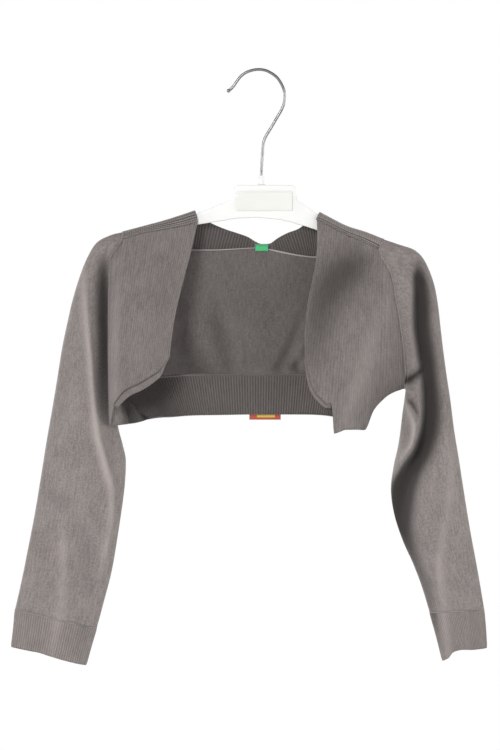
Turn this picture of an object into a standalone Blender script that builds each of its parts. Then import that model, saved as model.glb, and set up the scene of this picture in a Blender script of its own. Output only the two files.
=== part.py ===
"""A child's cropped, open-front cardigan in fine knit, hanging on a clothes hanger.

The garment is built as it is cut and sewn: a plain back with a rib band at its hem and a rib band at
the back of the neck, two rib fronts with cut-away lower edges bound by a narrow trim, a strip over
each shoulder, and two long sleeves with rib cuffs. Every piece is a wall of knit lofted through a
short table of sections. A moulded hanger with a wire hook carries it.

Sizes are millimetres. X runs to the right of someone who faces the garment, Y runs away from them and
Z runs up. The origin is the underside of the hook's top, where a rail carries the hanger.
"""

import math
from collections import namedtuple

import bmesh
import bpy
import numpy as np

MM = 0.001

# Knit
PLAIN_WALL = 1.4
RIB_WALL = 1.6
RIB_PITCH_HEM = 2.45
RIB_PITCH_NECK = 2.85
CUFF_RIBS = 80
RIB_HEIGHT = 0.45
CUFF_RIB_HEIGHT = 0.35
SEAM_GAP = 0.3
ARMHOLE_GAP = 0.6
UNDERARM_DEPTH = 2.2
EDGE_RELIEF = 0.35
MOST_RELIEF = 0.4
LABEL_WALL = 0.8

# Hanger
WIRE_RADIUS = 1.3
HOOK_BALL_RADIUS = 1.7
HOOK_TIP_RADIUS = 1.35
SOCKET_RADIUS = 3.6
SOCKET_TOP_RADIUS = 2.5
SOCKET_SIDES = 20
SOCKET_LOW = -102.7
SOCKET_HIGH = -94.5
PLATE_SIZE = (50.0, 1.2, 17.0)
PLATE_CENTRE = (5.0, -117.5)
PLATE_CORNER = 0.4
HANGER_CORNER = 2.2
HANGER_MIDDLE_HALF = 5.0

# One wale line of a front: how many ribs lie before it, its ends, its depth at four heights, and how
# far its line leaves the straight one between its ends, as a bow and as an S. A seam of 1 puts its
# top on the armhole.
Wale = namedtuple("Wale", "ribs top_x top_z low_x low_z top_y upper_y lower_y low_y bow sway seam")

FRONT_LEFT = (
    Wale(0, -55.5, -136.0, -80.0, -256.5, -8.5, -19, -24, -24, 0.9, 0.0, 0),
    Wale(4.5, -65.5, -139.2, -89.0, -269.0, -8.5, -22, -27, -26, 0.5, 0.0, 0),
    Wale(9.5, -76.5, -141.4, -98.5, -275.5, -8.5, -24, -29, -28, 0.0, 0.0, 0),
    Wale(14.5, -88.0, -143.5, -108.5, -281.5, -8.5, -25, -30, -29, 0.0, 0.0, 0),
    Wale(19.5, -100.0, -145.4, -119.0, -286.5, -8.5, -25.5, -30.5, -30, 0.0, 0.0, 0),
    Wale(24, -110.5, -148.0, -126.5, -294.5, -8.5, -24.5, -28.5, -29, -1.0, 0.0, 0),
    Wale(27.5, -118.5, -150.6, -131.5, -304.5, -8.5, -22, -25, -26.5, -2.0, 0.0, 0),
    Wale(29.5, -123.5, -154.0, -133.8, -316.0, -8.0, -19, -22.5, -23, -2.0, 0.0, 1),
    Wale(31.5, -133.0, -173.0, -134.3, -318.5, -10.5, -17, -20.5, -21, -1.0, 0.0, 1),
    Wale(33, -132.0, -206.0, -133.2, -318.5, -13, -15.5, -18, -18.5, 0.0, 0.0, 1),
    Wale(35, -131.5, -246.5, -129.5, -318.5, -11.8, -13.5, -15.5, -17, 0.0, 0.0, 1),
    Wale(38.5, -130.5, -280.0, -121.8, -318.0, -5, -8.5, -12, -14, 0.0, 0.0, 1),
    Wale(43.5, -117.0, -298.0, -110.7, -316.5, -4, -6, -7, -8, 0.0, 0.0, 0),
    Wale(48, -100.0, -311.0, -99.3, -313.5, -1.5, -1.5, -1.5, -1.5, 0.0, 0.0, 0),
)
FRONT_RIGHT = (
    Wale(0, 52.5, -135.0, 41.5, -257.5, -8.5, -19, -24, -24, 0.0, 2.3, 0),
    Wale(4.5, 62.0, -139.4, 50.0, -284.0, -8.5, -23, -28, -27, 0.0, 1.2, 0),
    Wale(9.5, 73.0, -145.2, 61.0, -299.0, -8.5, -25, -30, -29, 0.0, 0.4, 0),
    Wale(11.5, 77.5, -147.5, 65.5, -304.5, -8.5, -25.5, -30, -30, 0.0, 0.0, 0),
    Wale(12.5, 79.6, -148.6, 67.2, -326.0, -8.5, -26.3, -30.2, -31, 0.0, 0.0, 0),
    Wale(17, 88.0, -152.0, 78.5, -322.5, -8.5, -25.6, -30, -29, 0.0, 0.0, 0),
    Wale(21.5, 97.0, -155.7, 88.0, -322.5, -8.5, -24, -28, -22, 0.0, 0.0, 0),
    Wale(25, 103.5, -159.2, 95.0, -323.0, -8.5, -23, -26, -10, 0.0, 0.0, 0),
    Wale(28.5, 108.4, -163.6, 103.5, -305.0, -9.5, -22, -24, -6, 0.0, 0.0, 1),
    Wale(32, 117.0, -180.0, 113.5, -294.0, -14.6, -20.5, -18.5, -4, 0.0, 0.0, 1),
    Wale(36, 123.5, -209.0, 122.5, -288.5, -17.8, -18.4, -15, -3, 0.0, 0.0, 1),
    Wale(39, 128.5, -246.5, 128.5, -286.4, -16.3, -14.6, -11.5, -2, 0.0, 0.0, 1),
    Wale(41, 131.3, -270.0, 130.9, -284.8, -12, -10.3, -7.8, -1.5, 0.0, 0.0, 1),
)
FRONT_ROWS = 8
SEAM_LEAN = 2.5

# One section across the trim of a front's cut-away edge: how many ribs lie before it, how wide it is
# there and how far it curls forward
Trim = namedtuple("Trim", "ribs width curl")

TRIM_LEFT = (
    Trim(0, 2.0, 0.3), Trim(4.5, 5.0, 0.7), Trim(9.5, 7.2, 1.0), Trim(14.5, 7.6, 1.2),
    Trim(23, 6.6, 1.1), Trim(26.5, 4.4, 0.7),
)
TRIM_RIGHT = (
    Trim(0, 2.2, 0.3), Trim(4.5, 5.6, 0.8), Trim(7, 6.2, 1.2), Trim(9.5, 6.0, 1.5), Trim(11.5, 5.6, 1.5),
)
TRIM_ROLL = (0.7, 1.0, 0.8)

# One section across a shoulder strip: its ridge, and the seam where the front hangs from it
Strip = namedtuple("Strip", "ridge_x ridge_z seam_x seam_z")

STRIP_LEFT = (
    Strip(-58.0, -125.5, -55.5, -135.5),
    Strip(-70.0, -129.6, -67.5, -138.7),
    Strip(-89.0, -135.5, -88.0, -142.6),
    Strip(-104.0, -139.5, -103.5, -145.4),
    Strip(-122.0, -144.3, -122.2, -150.8),
)
STRIP_RIGHT = (
    Strip(55.0, -127.0, 51.5, -134.3),
    Strip(62.5, -131.0, 60.5, -137.9),
    Strip(79.5, -139.5, 78.5, -147.1),
    Strip(96.5, -145.0, 95.0, -153.9),
    Strip(111.4, -150.9, 109.4, -161.4),
)
STRIP_DEPTH = 8.5
STRIP_BACK_DROP = 8.0

# One step across a strip: its depth as a share of the strip's own, its drop as a share of the whole
# drop from ridge to seam, its share of the sideways way there, and the height of its welt
Step = namedtuple("Step", "depth drop way welt")

STRIP_PROFILE = (
    Step(1.0, 1.0, 0.0, 0.0),
    Step(0.97, 0.55, 0.0, 0.0),
    Step(0.78, 0.18, 0.0, 0.0),
    Step(0.42, 0.03, 0.0, 0.0),
    Step(0.0, 0.0, 0.0, 0.0),
    Step(-0.42, 0.05, 0.1, 0.0),
    Step(-0.76, 0.22, 0.3, 0.0),
    Step(-0.95, 0.52, 0.6, 0.5),
    Step(-1.0, 0.8, 0.84, 0.5),
    Step(-1.0, 1.0, 1.0, 0.0),
)

# One point of an armhole's front: how far down the armhole it is, and how far outward it stands of
# the straight line from the shoulder to the underarm
Armhole = namedtuple("Armhole", "way out")

ARMHOLE_LEFT = (
    Armhole(0.0, 0.0), Armhole(0.04, 0.3), Armhole(0.15, 9.2), Armhole(0.21, 11.1),
    Armhole(0.43, 6.6), Armhole(0.71, 3.6), Armhole(1.0, 0.0),
)
ARMHOLE_RIGHT = (
    Armhole(0.0, 0.0), Armhole(0.07, -4.5), Armhole(0.12, -3.6), Armhole(0.2, 1.3),
    Armhole(0.38, 3.0), Armhole(0.56, 4.0), Armhole(0.73, 3.8), Armhole(0.89, 2.6), Armhole(1.0, 0.0),
)
ARMHOLE_BACK_OUT = 3.5

# One ring of a sleeve: its outer and inner silhouette points, its depth before and behind them, and
# how much of the armhole's shape it keeps. The rings fan out from the armhole, round the underarm.
Ring = namedtuple("Ring", "outer_x outer_z inner_x inner_z front back armhole")

SLEEVE_LEFT = (
    Ring(-122.5, -145.0, -131.5, -288.0, 13, 17, 1.0),
    Ring(-134.0, -148.0, -131.8, -290.0, 16, 18, 0.6),
    Ring(-146.5, -155.0, -131.8, -292.5, 19, 19, 0.25),
    Ring(-155.5, -170.0, -131.5, -295.5, 21, 20, 0.05),
    Ring(-162.0, -187.0, -131.3, -299.0, 22, 20, 0.0),
    Ring(-168.0, -207.0, -130.8, -303.5, 22, 20, 0.0),
    Ring(-173.0, -229.0, -129.5, -309.5, 22, 20, 0.0),
    Ring(-177.5, -251.0, -127.5, -317.0, 22, 20, 0.0),
    Ring(-181.5, -276.5, -125.5, -326.0, 22, 20, 0.0),
    Ring(-186.0, -303.5, -122.5, -337.0, 21, 19, 0.0),
    Ring(-191.0, -332.0, -119.8, -352.0, 21, 19, 0.0),
    Ring(-196.0, -363.5, -121.0, -375.0, 20, 18, 0.0),
    Ring(-202.0, -399.5, -125.5, -408.0, 19, 17, 0.0),
    Ring(-209.0, -435.5, -132.0, -447.5, 17, 15, 0.0),
    Ring(-214.5, -462.5, -138.5, -473.5, 16, 14, 0.0),
    Ring(-219.5, -484.5, -146.0, -501.5, 15, 13, 0.0),
)
SLEEVE_RIGHT = (
    Ring(112.0, -151.5, 131.5, -285.5, 18, 17, 1.0),
    Ring(126.0, -156.2, 131.8, -287.5, 19.5, 18, 0.75),
    Ring(140.4, -161.5, 131.6, -290.0, 21, 19, 0.4),
    Ring(149.7, -172.0, 131.2, -293.0, 22, 20, 0.15),
    Ring(157.3, -191.0, 130.7, -297.0, 22, 20, 0.0),
    Ring(161.0, -210.0, 130.0, -302.0, 22, 20, 0.0),
    Ring(163.2, -229.0, 129.0, -309.0, 22, 20, 0.0),
    Ring(165.8, -251.0, 128.0, -317.5, 22, 20, 0.0),
    Ring(168.8, -273.5, 126.7, -328.0, 22, 20, 0.0),
    Ring(172.2, -296.0, 124.7, -340.0, 21, 19, 0.0),
    Ring(175.6, -323.0, 121.3, -355.0, 21, 19, 0.0),
    Ring(180.0, -350.0, 118.7, -376.0, 20, 18, 0.0),
    Ring(184.6, -380.0, 121.8, -399.5, 19, 17, 0.0),
    Ring(190.0, -413.0, 129.5, -423.0, 18, 16, 0.0),
    Ring(195.4, -442.0, 138.5, -443.0, 17, 15, 0.0),
    Ring(199.2, -463.5, 146.5, -464.0, 16, 14, 0.0),
    Ring(202.7, -484.5, 153.5, -487.0, 15, 13, 0.0),
)
CUFF_LEFT = (
    Ring(-219.6, -484.9, -146.1, -501.9, 15, 13, 0.0),
    Ring(-221.0, -501.5, -150.5, -516.5, 14, 13, 0.0),
    Ring(-223.0, -518.0, -155.5, -534.5, 13, 12, 0.0),
)
CUFF_RIGHT = (
    Ring(202.5, -484.9, 153.6, -487.4, 15, 13, 0.0),
    Ring(204.0, -501.5, 159.5, -508.5, 14, 13, 0.0),
    Ring(205.0, -519.0, 165.0, -530.5, 13, 12, 0.0),
)
SLEEVE_SQUARENESS = 0.8
SLEEVE_COLUMNS = 20

# One point of a fold: the fold it belongs to, its place seen from the front, and how wide and how
# high the fold is there. A negative rise is a trough.
FoldPoint = namedtuple("FoldPoint", "fold x z width rise")

FOLDS_FRONT_RIGHT = (
    FoldPoint("lap", 119.5, -190.0, 9, 0.0),
    FoldPoint("lap", 108.0, -225.0, 9, 2.5),
    FoldPoint("lap", 92.0, -265.0, 8, 3.0),
    FoldPoint("lap", 71.0, -318.0, 6, 1.5),
)
FOLDS_FRONT_LEFT = (
    FoldPoint("sweep", -75.0, -170.0, 10, 0.0),
    FoldPoint("sweep", -95.0, -215.0, 11, -1.5),
    FoldPoint("sweep", -112.0, -275.0, 9, 0.0),
)
FOLDS_SLEEVE_LEFT = (
    FoldPoint("hollow", -140.5, -165.0, 4, 0.0),
    FoldPoint("hollow", -141.5, -190.0, 6, -11.0),
    FoldPoint("hollow", -141.5, -240.0, 6.5, -13.0),
    FoldPoint("hollow", -138.5, -285.0, 6, -10.0),
    FoldPoint("hollow", -134.0, -325.0, 5, 0.0),
    FoldPoint("ridge", -154.5, -176.0, 4, 1.5),
    FoldPoint("ridge", -152.5, -262.0, 4, 2.0),
    FoldPoint("ridge", -146.0, -325.0, 5, 2.5),
    FoldPoint("ridge", -129.5, -382.0, 6, 2.5),
    FoldPoint("ridge", -138.0, -440.0, 7, 1.5),
    FoldPoint("ridge", -147.0, -470.0, 7, 0.0),
)
FOLDS_SLEEVE_RIGHT = (
    FoldPoint("valley", 144.0, -170.0, 5, 0.0),
    FoldPoint("valley", 148.0, -200.0, 7.5, -11.0),
    FoldPoint("valley", 146.5, -250.0, 8.5, -14.0),
    FoldPoint("valley", 150.5, -300.0, 9, -15.0),
    FoldPoint("valley", 145.5, -341.0, 9, -13.0),
    FoldPoint("valley", 132.0, -370.0, 8, -11.0),
    FoldPoint("valley", 128.0, -398.0, 6, -4.0),
    FoldPoint("valley", 134.0, -425.0, 5, 0.0),
    FoldPoint("underarm", 130.0, -300.0, 3, 0.5),
    FoldPoint("underarm", 138.5, -318.5, 3.5, 2.5),
    FoldPoint("underarm", 137.0, -337.5, 4, 2.5),
    FoldPoint("underarm", 123.0, -363.0, 4, 0.5),
    FoldPoint("outer", 161.5, -315.0, 5, 1.0),
    FoldPoint("outer", 173.0, -360.0, 5, 2.0),
    FoldPoint("outer", 180.0, -388.0, 5, 0.5),
)
FOLDS_BACK = (
    FoldPoint("centre", -11.5, -240.0, 3, 0.0),
    FoldPoint("centre", -11.5, -262.0, 3, -1.5),
    FoldPoint("left", -50.0, -215.0, 6, 0.0),
    FoldPoint("left", -33.0, -265.0, 6, -3.0),
    FoldPoint("right", 34.0, -225.0, 5, 0.0),
    FoldPoint("right", 20.0, -265.0, 6, -2.5),
)

# One rib line of a band: its ends, their depths, and how far it bows up and outward half way
BandRib = namedtuple("BandRib", "top_x top_z low_x low_z top_y low_y bow_x bow_z")

HEM_BAND = (
    BandRib(-130.3, -290.5, -99.0, -313.5, 1.0, 1.0, 0, 0),
    BandRib(-117.5, -283.0, -90.5, -312.2, 8, 8, 0, 0),
    BandRib(-98.0, -277.2, -80.0, -311.5, 13, 13, 0, 0),
    BandRib(-71.0, -274.5, -62.0, -310.0, 16, 15, 0, 0),
    BandRib(-39.5, -273.7, -36.0, -309.5, 18, 16, 0, 0),
    BandRib(-1.0, -273.7, -1.0, -309.0, 18, 16, 0, 0),
    BandRib(37.0, -273.7, 34.0, -309.0, 17, 15, 0, 0),
    BandRib(73.0, -274.7, 64.0, -310.5, 14, 12, 0, 0),
    BandRib(104.5, -278.5, 81.0, -316.0, 9, 7, -1.5, 1.5),
    BandRib(130.4, -286.2, 94.4, -322.6, 1.6, 1.0, -5.5, 6.5),
)
NECK_BAND = (
    BandRib(-56.8, -128.5, -60.3, -161.2, 10.8, 10.9, 0, 0),
    BandRib(-51.5, -132.5, -55.5, -161.2, 11, 10.9, 0, 0),
    BandRib(-41.5, -138.0, -46.0, -161.2, 12, 10.9, 0, 0),
    BandRib(-29.5, -143.0, -34.0, -161.0, 14.5, 10.9, 0, 0),
    BandRib(-19.0, -146.5, -22.5, -160.4, 17, 10.9, 0, 0),
    BandRib(-10.0, -150.0, -11.5, -159.8, 19.5, 10.9, 0, 0),
    BandRib(-4.0, -154.0, -4.0, -159.4, 21, 10.9, 0, 0),
    BandRib(2.5, -156.5, 2.5, -159.8, 21.5, 10.9, 0, 0),
    BandRib(10.0, -156.0, 10.0, -160.8, 20.5, 10.9, 0, 0),
    BandRib(17.0, -151.0, 20.0, -162.8, 18, 10.9, 0, 0),
    BandRib(26.0, -146.0, 32.5, -165.3, 15, 10.9, 0, 0),
    BandRib(37.0, -141.5, 43.0, -166.9, 12.5, 10.9, 0, 0),
    BandRib(44.5, -135.0, 49.5, -167.5, 11.5, 10.9, 0, 0),
    BandRib(53.0, -129.5, 55.0, -167.5, 10.8, 10.9, 0, 0),
)

# One vertical section of the back: its top, where it meets the hem band, and its depth half way
BackSection = namedtuple("BackSection", "top_x top_z low_x middle_y")

BACK = (
    BackSection(-123.0, -153.5, -131.0, 17),
    BackSection(-115.0, -151.2, -119.5, 17.5),
    BackSection(-107.0, -149.0, -109.0, 18),
    BackSection(-80.0, -141.5, -84.0, 17),
    BackSection(-62.5, -135.2, -74.0, 16.5),
    BackSection(-62.2, -149.0, -68.0, 16.5),
    BackSection(-61.4, -161.8, -62.0, 16.5),
    BackSection(-30.5, -161.5, -30.5, 17),
    BackSection(-2.0, -160.0, -2.0, 17),
    BackSection(23.5, -164.0, 23.5, 17),
    BackSection(56.2, -168.2, 55.0, 16.5),
    BackSection(56.6, -153.0, 62.0, 16.5),
    BackSection(57.2, -137.5, 68.0, 16.5),
    BackSection(82.0, -149.5, 84.0, 17),
    BackSection(100.0, -155.0, 101.5, 18),
    BackSection(111.5, -160.4, 130.3, 17),
)
BACK_TOP = (-135.0, 9.0)
BACK_NECK = (-162.0, 9.6)
BACK_MIDDLE = -212.0
BACK_COLUMN = 13.0
BACK_HEM_GAP = 0.5
BACK_ROWS = 8

# One section of the hanger along its length: its top, its underside and half its thickness
Beam = namedtuple("Beam", "x top low half")

HANGER = (
    Beam(-118.5, -150.0, -154.5, 2.5),
    Beam(-115.5, -148.0, -157.0, 4.6),
    Beam(-102.5, -143.6, -156.0, 5.6),
    Beam(-89.0, -139.8, -152.0, 5.8),
    Beam(-71.0, -134.2, -145.0, 5.8),
    Beam(-56.0, -128.4, -138.5, 5.6),
    Beam(-44.0, -124.0, -136.5, 5.2),
    Beam(-33.5, -119.5, -135.0, 5.0),
    Beam(-23.0, -115.5, -133.0, 5.0),
    Beam(-22.2, -105.0, -132.9, HANGER_MIDDLE_HALF),
    Beam(-20.0, -103.0, -132.6, HANGER_MIDDLE_HALF),
    Beam(-2.0, -103.0, -131.8, HANGER_MIDDLE_HALF),
    Beam(19.0, -103.0, -133.8, HANGER_MIDDLE_HALF),
    Beam(30.5, -103.0, -136.5, HANGER_MIDDLE_HALF),
    Beam(33.0, -105.0, -137.4, HANGER_MIDDLE_HALF),
    Beam(34.0, -116.0, -137.8, 5.0),
    Beam(43.0, -122.0, -140.2, 5.2),
    Beam(53.0, -129.4, -143.6, 5.6),
    Beam(79.5, -142.6, -154.0, 5.8),
    Beam(96.5, -148.4, -160.0, 5.6),
    Beam(103.5, -151.6, -161.5, 4.6),
    Beam(106.0, -154.0, -160.0, 2.5),
)

# The hook's wire, from its tip to the socket
HOOK = (
    (-29.0, -18.7), (-26.6, -17.4), (-23.6, -14.6), (-20.2, -9.8), (-16.0, -4.6), (-12.1, -1.7),
    (-7.7, 0.1), (-0.5, 1.3), (6.3, 0.3), (11.5, -2.3), (16.6, -6.4), (20.2, -11.8), (22.6, -17.6),
    (23.0, -23.5), (22.5, -29.0), (20.5, -34.4), (16.2, -42.0), (9.9, -52.7), (5.2, -60.8),
    (3.8, -65.3), (3.3, -71.2), (2.7, -80.2), (2.3, -87.4), (2.0, -94.2),
)

# A label's two sides in X, and its line in Y and Z: over the neck band's edge, and behind the hem band
NECK_LABEL = (-3.2, 8.1)
NECK_LABEL_LINE = ((12.0, -156.6), (9.2, -157.0), (7.7, -158.6), (7.7, -161.8))
HEM_LABEL = (-8.5, 19.4)
HEM_LABEL_LINE = ((18.0, -304.0), (17.8, -313.8))

TAUPE = (0.250, 0.225, 0.215)
TAUPE_DEEP = (0.205, 0.185, 0.176)
WHITE = (0.86, 0.86, 0.84)
STEEL = (0.62, 0.62, 0.63)
GREEN = (0.05, 0.52, 0.19)
RED = (0.52, 0.06, 0.03)


def curve_through(places, values, at):
    """Read a smooth curve through a table's rows, without swinging past them."""
    places = np.asarray(places, float)
    values = np.asarray(values, float)
    at = np.asarray(at, float)
    steps = np.diff(places)
    slopes = np.diff(values) / steps
    ends = np.empty(len(places))
    ends[0], ends[-1] = slopes[0], slopes[-1]
    inner = (slopes[:-1] * steps[1:] + slopes[1:] * steps[:-1]) / (steps[:-1] + steps[1:])
    ends[1:-1] = np.where(slopes[:-1] * slopes[1:] > 0, inner, 0.0)
    i = np.clip(np.searchsorted(places, at, side="right") - 1, 0, len(steps) - 1)
    t = (at - places[i]) / steps[i]
    return (
        (1 + 2 * t) * (1 - t) ** 2 * values[i]
        + t * (1 - t) ** 2 * steps[i] * ends[i]
        + t * t * (3 - 2 * t) * values[i + 1]
        + t * t * (t - 1) * steps[i] * ends[i + 1]
    )


def columns_of(rows, places, at):
    """Every named column of a table, read at the given places."""
    kind = type(rows[0])
    return kind(*(curve_through(places, column, at) for column in zip(*rows)))


def along(rows, at_end):
    """How far along the cloth each row of a table lies, by the larger of its two ends' steps."""
    ends = [np.array([[getattr(row, end + "_x"), getattr(row, end + "_z")] for row in rows]) for end in at_end]
    steps = np.max([np.linalg.norm(np.diff(end, axis=0), axis=1) for end in ends], axis=0)
    return np.concatenate([[0.0], np.cumsum(steps)])


def pairs(items):
    """Each item of a row with the one after it."""
    return zip(items[:-1], items[1:])


def fold_rise(points, folds):
    """How far the folds lift each point towards the viewer."""
    rise = np.zeros(points.shape[:-1])
    flat = points[..., [0, 2]]
    for name in dict.fromkeys(row.fold for row in folds):
        stations = [row for row in folds if row.fold == name]
        nearest = np.full(rise.shape, np.inf)
        lift = np.zeros(rise.shape)
        for a, b in pairs(stations):
            start = np.array([a.x, a.z])
            run = np.array([b.x - a.x, b.z - a.z])
            t = np.clip(((flat - start) @ run) / (run @ run), 0, 1)
            away = np.linalg.norm(flat - start - t[..., None] * run, axis=-1)
            width = a.width + (b.width - a.width) * t
            height = a.rise + (b.rise - a.rise) * t
            closer = away < nearest
            nearest = np.where(closer, away, nearest)
            lift = np.where(closer, height * np.exp(-((away / width) ** 2)), lift)
        rise += lift
    return rise


def normals_of(surface, closed):
    """Unit normals of a grid of points, along the cross product of its columns and its rows."""
    if closed:
        padded = np.concatenate([surface[-1:], surface, surface[:1]])
        across = (padded[2:] - padded[:-2]) / 2
    else:
        across = np.gradient(surface, axis=0)
    down = np.gradient(surface, axis=1)
    normal = np.cross(across, down)
    return normal / np.linalg.norm(normal, axis=-1, keepdims=True)


def pull_in(wall, closed, relief):
    """Draw the edges of a wall's inner grid back from the seams, so that neighbours never meet."""
    axes = (1,) if closed else (0, 1)
    for axis in axes:
        lines = np.moveaxis(wall, axis, 0)
        for edge, following in ((0, 1), (-1, -2)):
            step = lines[following] - lines[edge]
            length = np.linalg.norm(step, axis=-1, keepdims=True)
            lines[edge] += step * np.minimum(relief / length, MOST_RELIEF)


def knit_wall(name, surface, side, thickness, look, ribs=0.0, inner_ribs=0.0, closed=False, set_in=False,
              lean=None):
    """Make one closed wall of knit from the grid of its outer points.

    side is +1 or -1, whichever turns the grid's normals outward. ribs raises every second column of
    the outer face, and inner_ribs follows it on the inner face; a plain inner face has half the columns.
    A wall that is set in has the edge of its first row square to X, as a sleeve has at its armhole.
    lean turns the wall's thickness towards Y, point by point, and presses the first row's ribs flat.
    """
    surface = np.asarray(surface, float)
    normal = normals_of(surface, closed) * side
    if set_in:
        normal[:, 0, 0] = 0
        normal[:, 0] /= np.linalg.norm(normal[:, 0], axis=-1, keepdims=True)
    raised = np.zeros(surface.shape[:2] + (1,))
    raised[1::2] = 1.0
    if lean is not None:
        normal[..., 1] -= lean
        normal /= np.linalg.norm(normal, axis=-1, keepdims=True)
        raised[:, 0] = 0.0
    outer = surface + normal * raised * ribs
    inner = surface - normal * thickness + normal * raised * inner_ribs
    pull_in(inner, closed, EDGE_RELIEF)
    stride = 2 if ribs and not inner_ribs else 1
    count, rows = surface.shape[:2]
    last = count if closed else count - 1
    stops = list(range(0, last, stride)) + [last]
    kept = stops[:-1] if closed else stops
    points = np.concatenate([outer.reshape(-1, 3), inner[kept].reshape(-1, 3)]) * MM

    def out(column, row):
        return (column % count) * rows + row

    def within(place, row):
        return count * rows + (place % len(kept)) * rows + row

    faces = []
    for row in range(rows - 1):
        for column in range(last):
            near, far = column, column + 1
            faces.append((out(near, row), out(far, row), out(far, row + 1), out(near, row + 1)))
        for near, far in pairs(range(len(stops))):
            faces.append((within(near, row), within(near, row + 1), within(far, row + 1), within(far, row)))
        if not closed:
            for near, far in ((0, 0), (count - 1, len(stops) - 1)):
                faces.append((out(near, row), out(near, row + 1), within(far, row + 1), within(far, row)))
    for row in (0, rows - 1):
        for place, (start, stop) in enumerate(pairs(stops)):
            edge = [out(column, row) for column in range(start, stop + 1)]
            faces.append(tuple(edge + [within(place + 1, row), within(place, row)]))
    return solid(name, points, faces, look)


def solid(name, points, faces, look):
    """Add one closed mesh object with its faces pointing out."""
    mesh = bpy.data.meshes.new(name)
    mesh.from_pydata([tuple(point) for point in points], [], faces)
    work = bmesh.new()
    work.from_mesh(mesh)
    bmesh.ops.recalc_face_normals(work, faces=work.faces)
    bmesh.ops.triangulate(work, faces=work.faces)
    work.to_mesh(mesh)
    work.free()
    mesh.shade_smooth()
    mesh.set_sharp_from_angle(angle=math.radians(50))
    return place(bpy.data.objects.new(name, mesh), look)


def place(thing, look):
    """Give an object its material and put it in the garment's collection."""
    thing.data.materials.append(look)
    bpy.data.collections["cardigan_on_hanger"].objects.link(thing)
    return thing


def front_surface(wales, folds, sleeve, out, leaning_rows):
    """The outer points of a rib front: a column for each half rib, from the shoulder to the hem.

    Past the shoulder its columns start at the sleeve's first ring. out is the side's sign in X. The
    second result is how far the wall leans towards Y in those columns, down to the given row.
    """
    columns = np.arange(0, 2 * wales[-1].ribs + 1) / 2
    line = columns_of(wales, [wale.ribs for wale in wales], columns)
    v = np.linspace(0, 1, FRONT_ROWS + 1)
    seam_x, seam_y = armhole_at(sleeve, line.top_z, -1)
    top_x = line.top_x + (seam_x - out * ARMHOLE_GAP - line.top_x) * line.seam
    top_y = line.top_y + (seam_y - line.top_y) * line.seam
    off_line = np.outer(line.bow, np.sin(math.pi * v)) + np.outer(line.sway, np.sin(2 * math.pi * v))
    x = np.outer(top_x, 1 - v) + np.outer(line.low_x, v) + off_line
    z = np.outer(line.top_z, 1 - v) + np.outer(line.low_z, v)
    stations = (0, 1 / 3, 2 / 3, 1)
    depths = zip(top_y, line.upper_y, line.lower_y, line.low_y)
    y = np.array([curve_through(stations, depth, v) for depth in depths])
    surface = np.stack([x, y, z], axis=-1)
    surface[..., 1] -= fold_rise(surface, folds)
    return surface, SEAM_LEAN * np.outer(line.seam, np.arange(len(v)) < leaning_rows)


def trim_surface(front, sections, out):
    """The outer points of the narrow trim on a front's cut-away edge, made from the front's own edge."""
    seam = front[: int(2 * sections[-1].ribs) + 1 : 2, -1]
    line = columns_of(sections, [section.ribs for section in sections], np.arange(len(seam)))
    way = np.gradient(seam[:, [0, 2]], axis=0)
    away = np.stack([way[:, 1], -way[:, 0]], axis=-1) * out
    away /= np.linalg.norm(away, axis=-1, keepdims=True)
    rows = []
    for share, roll in zip((0.0, 0.5, 1.0), TRIM_ROLL):
        reach = (SEAM_GAP + share * line.width)[:, None] * away
        y = seam[:, 1] - roll * line.curl
        rows.append(np.stack([seam[:, 0] + reach[:, 0], y, seam[:, 2] + reach[:, 1]], axis=-1))
    return np.stack(rows, axis=1)


def strip_surface(sections):
    """The outer points of a shoulder strip, from its back edge over the ridge to the front seam."""
    places = along(sections, ("ridge", "seam"))
    line = columns_of(sections, places, np.linspace(0, places[-1], 9))
    rows = []
    for step in STRIP_PROFILE:
        fall = STRIP_BACK_DROP if step.depth > 0 else line.ridge_z - line.seam_z - SEAM_GAP
        x = line.ridge_x + (line.seam_x - line.ridge_x) * step.way
        y = np.full(len(x), STRIP_DEPTH * step.depth - step.welt)
        z = line.ridge_z - fall * step.drop
        rows.append(np.stack([x, y, z], axis=-1))
    return np.stack(rows, axis=1)


def armhole_at(sleeve, heights, face):
    """Where a sleeve's first ring passes the given heights, before (-1) or behind (+1) the arm."""
    ring = sleeve[:, 0]
    half = ring[ring[:, 1] * face > -0.01]
    half = half[np.argsort(half[:, 2])]
    depth = np.maximum(np.abs(np.interp(heights, half[:, 2], half[:, 1])), UNDERARM_DEPTH)
    return np.interp(heights, half[:, 2], half[:, 0]), depth * face


def even_turns(ring, columns):
    """The turns round a sleeve that lie evenly along its cloth, from its outer to its inner silhouette
    before the arm and back to the outer one behind it."""
    turns = []
    across = math.dist((ring.outer_x, ring.outer_z), (ring.inner_x, ring.inner_z)) / 2
    for depth, start in ((ring.front, 0.0), (ring.back, math.pi)):
        turn = np.linspace(0, math.pi, 181)
        flat = np.stack([across * np.cos(turn), depth * np.sin(turn) ** SLEEVE_SQUARENESS])
        length = np.concatenate([[0.0], np.cumsum(np.linalg.norm(np.diff(flat, axis=1), axis=0))])
        turns.append(start + np.interp(np.linspace(0, length[-1], columns // 2, endpoint=False), length, turn))
    return np.concatenate(turns)


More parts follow.
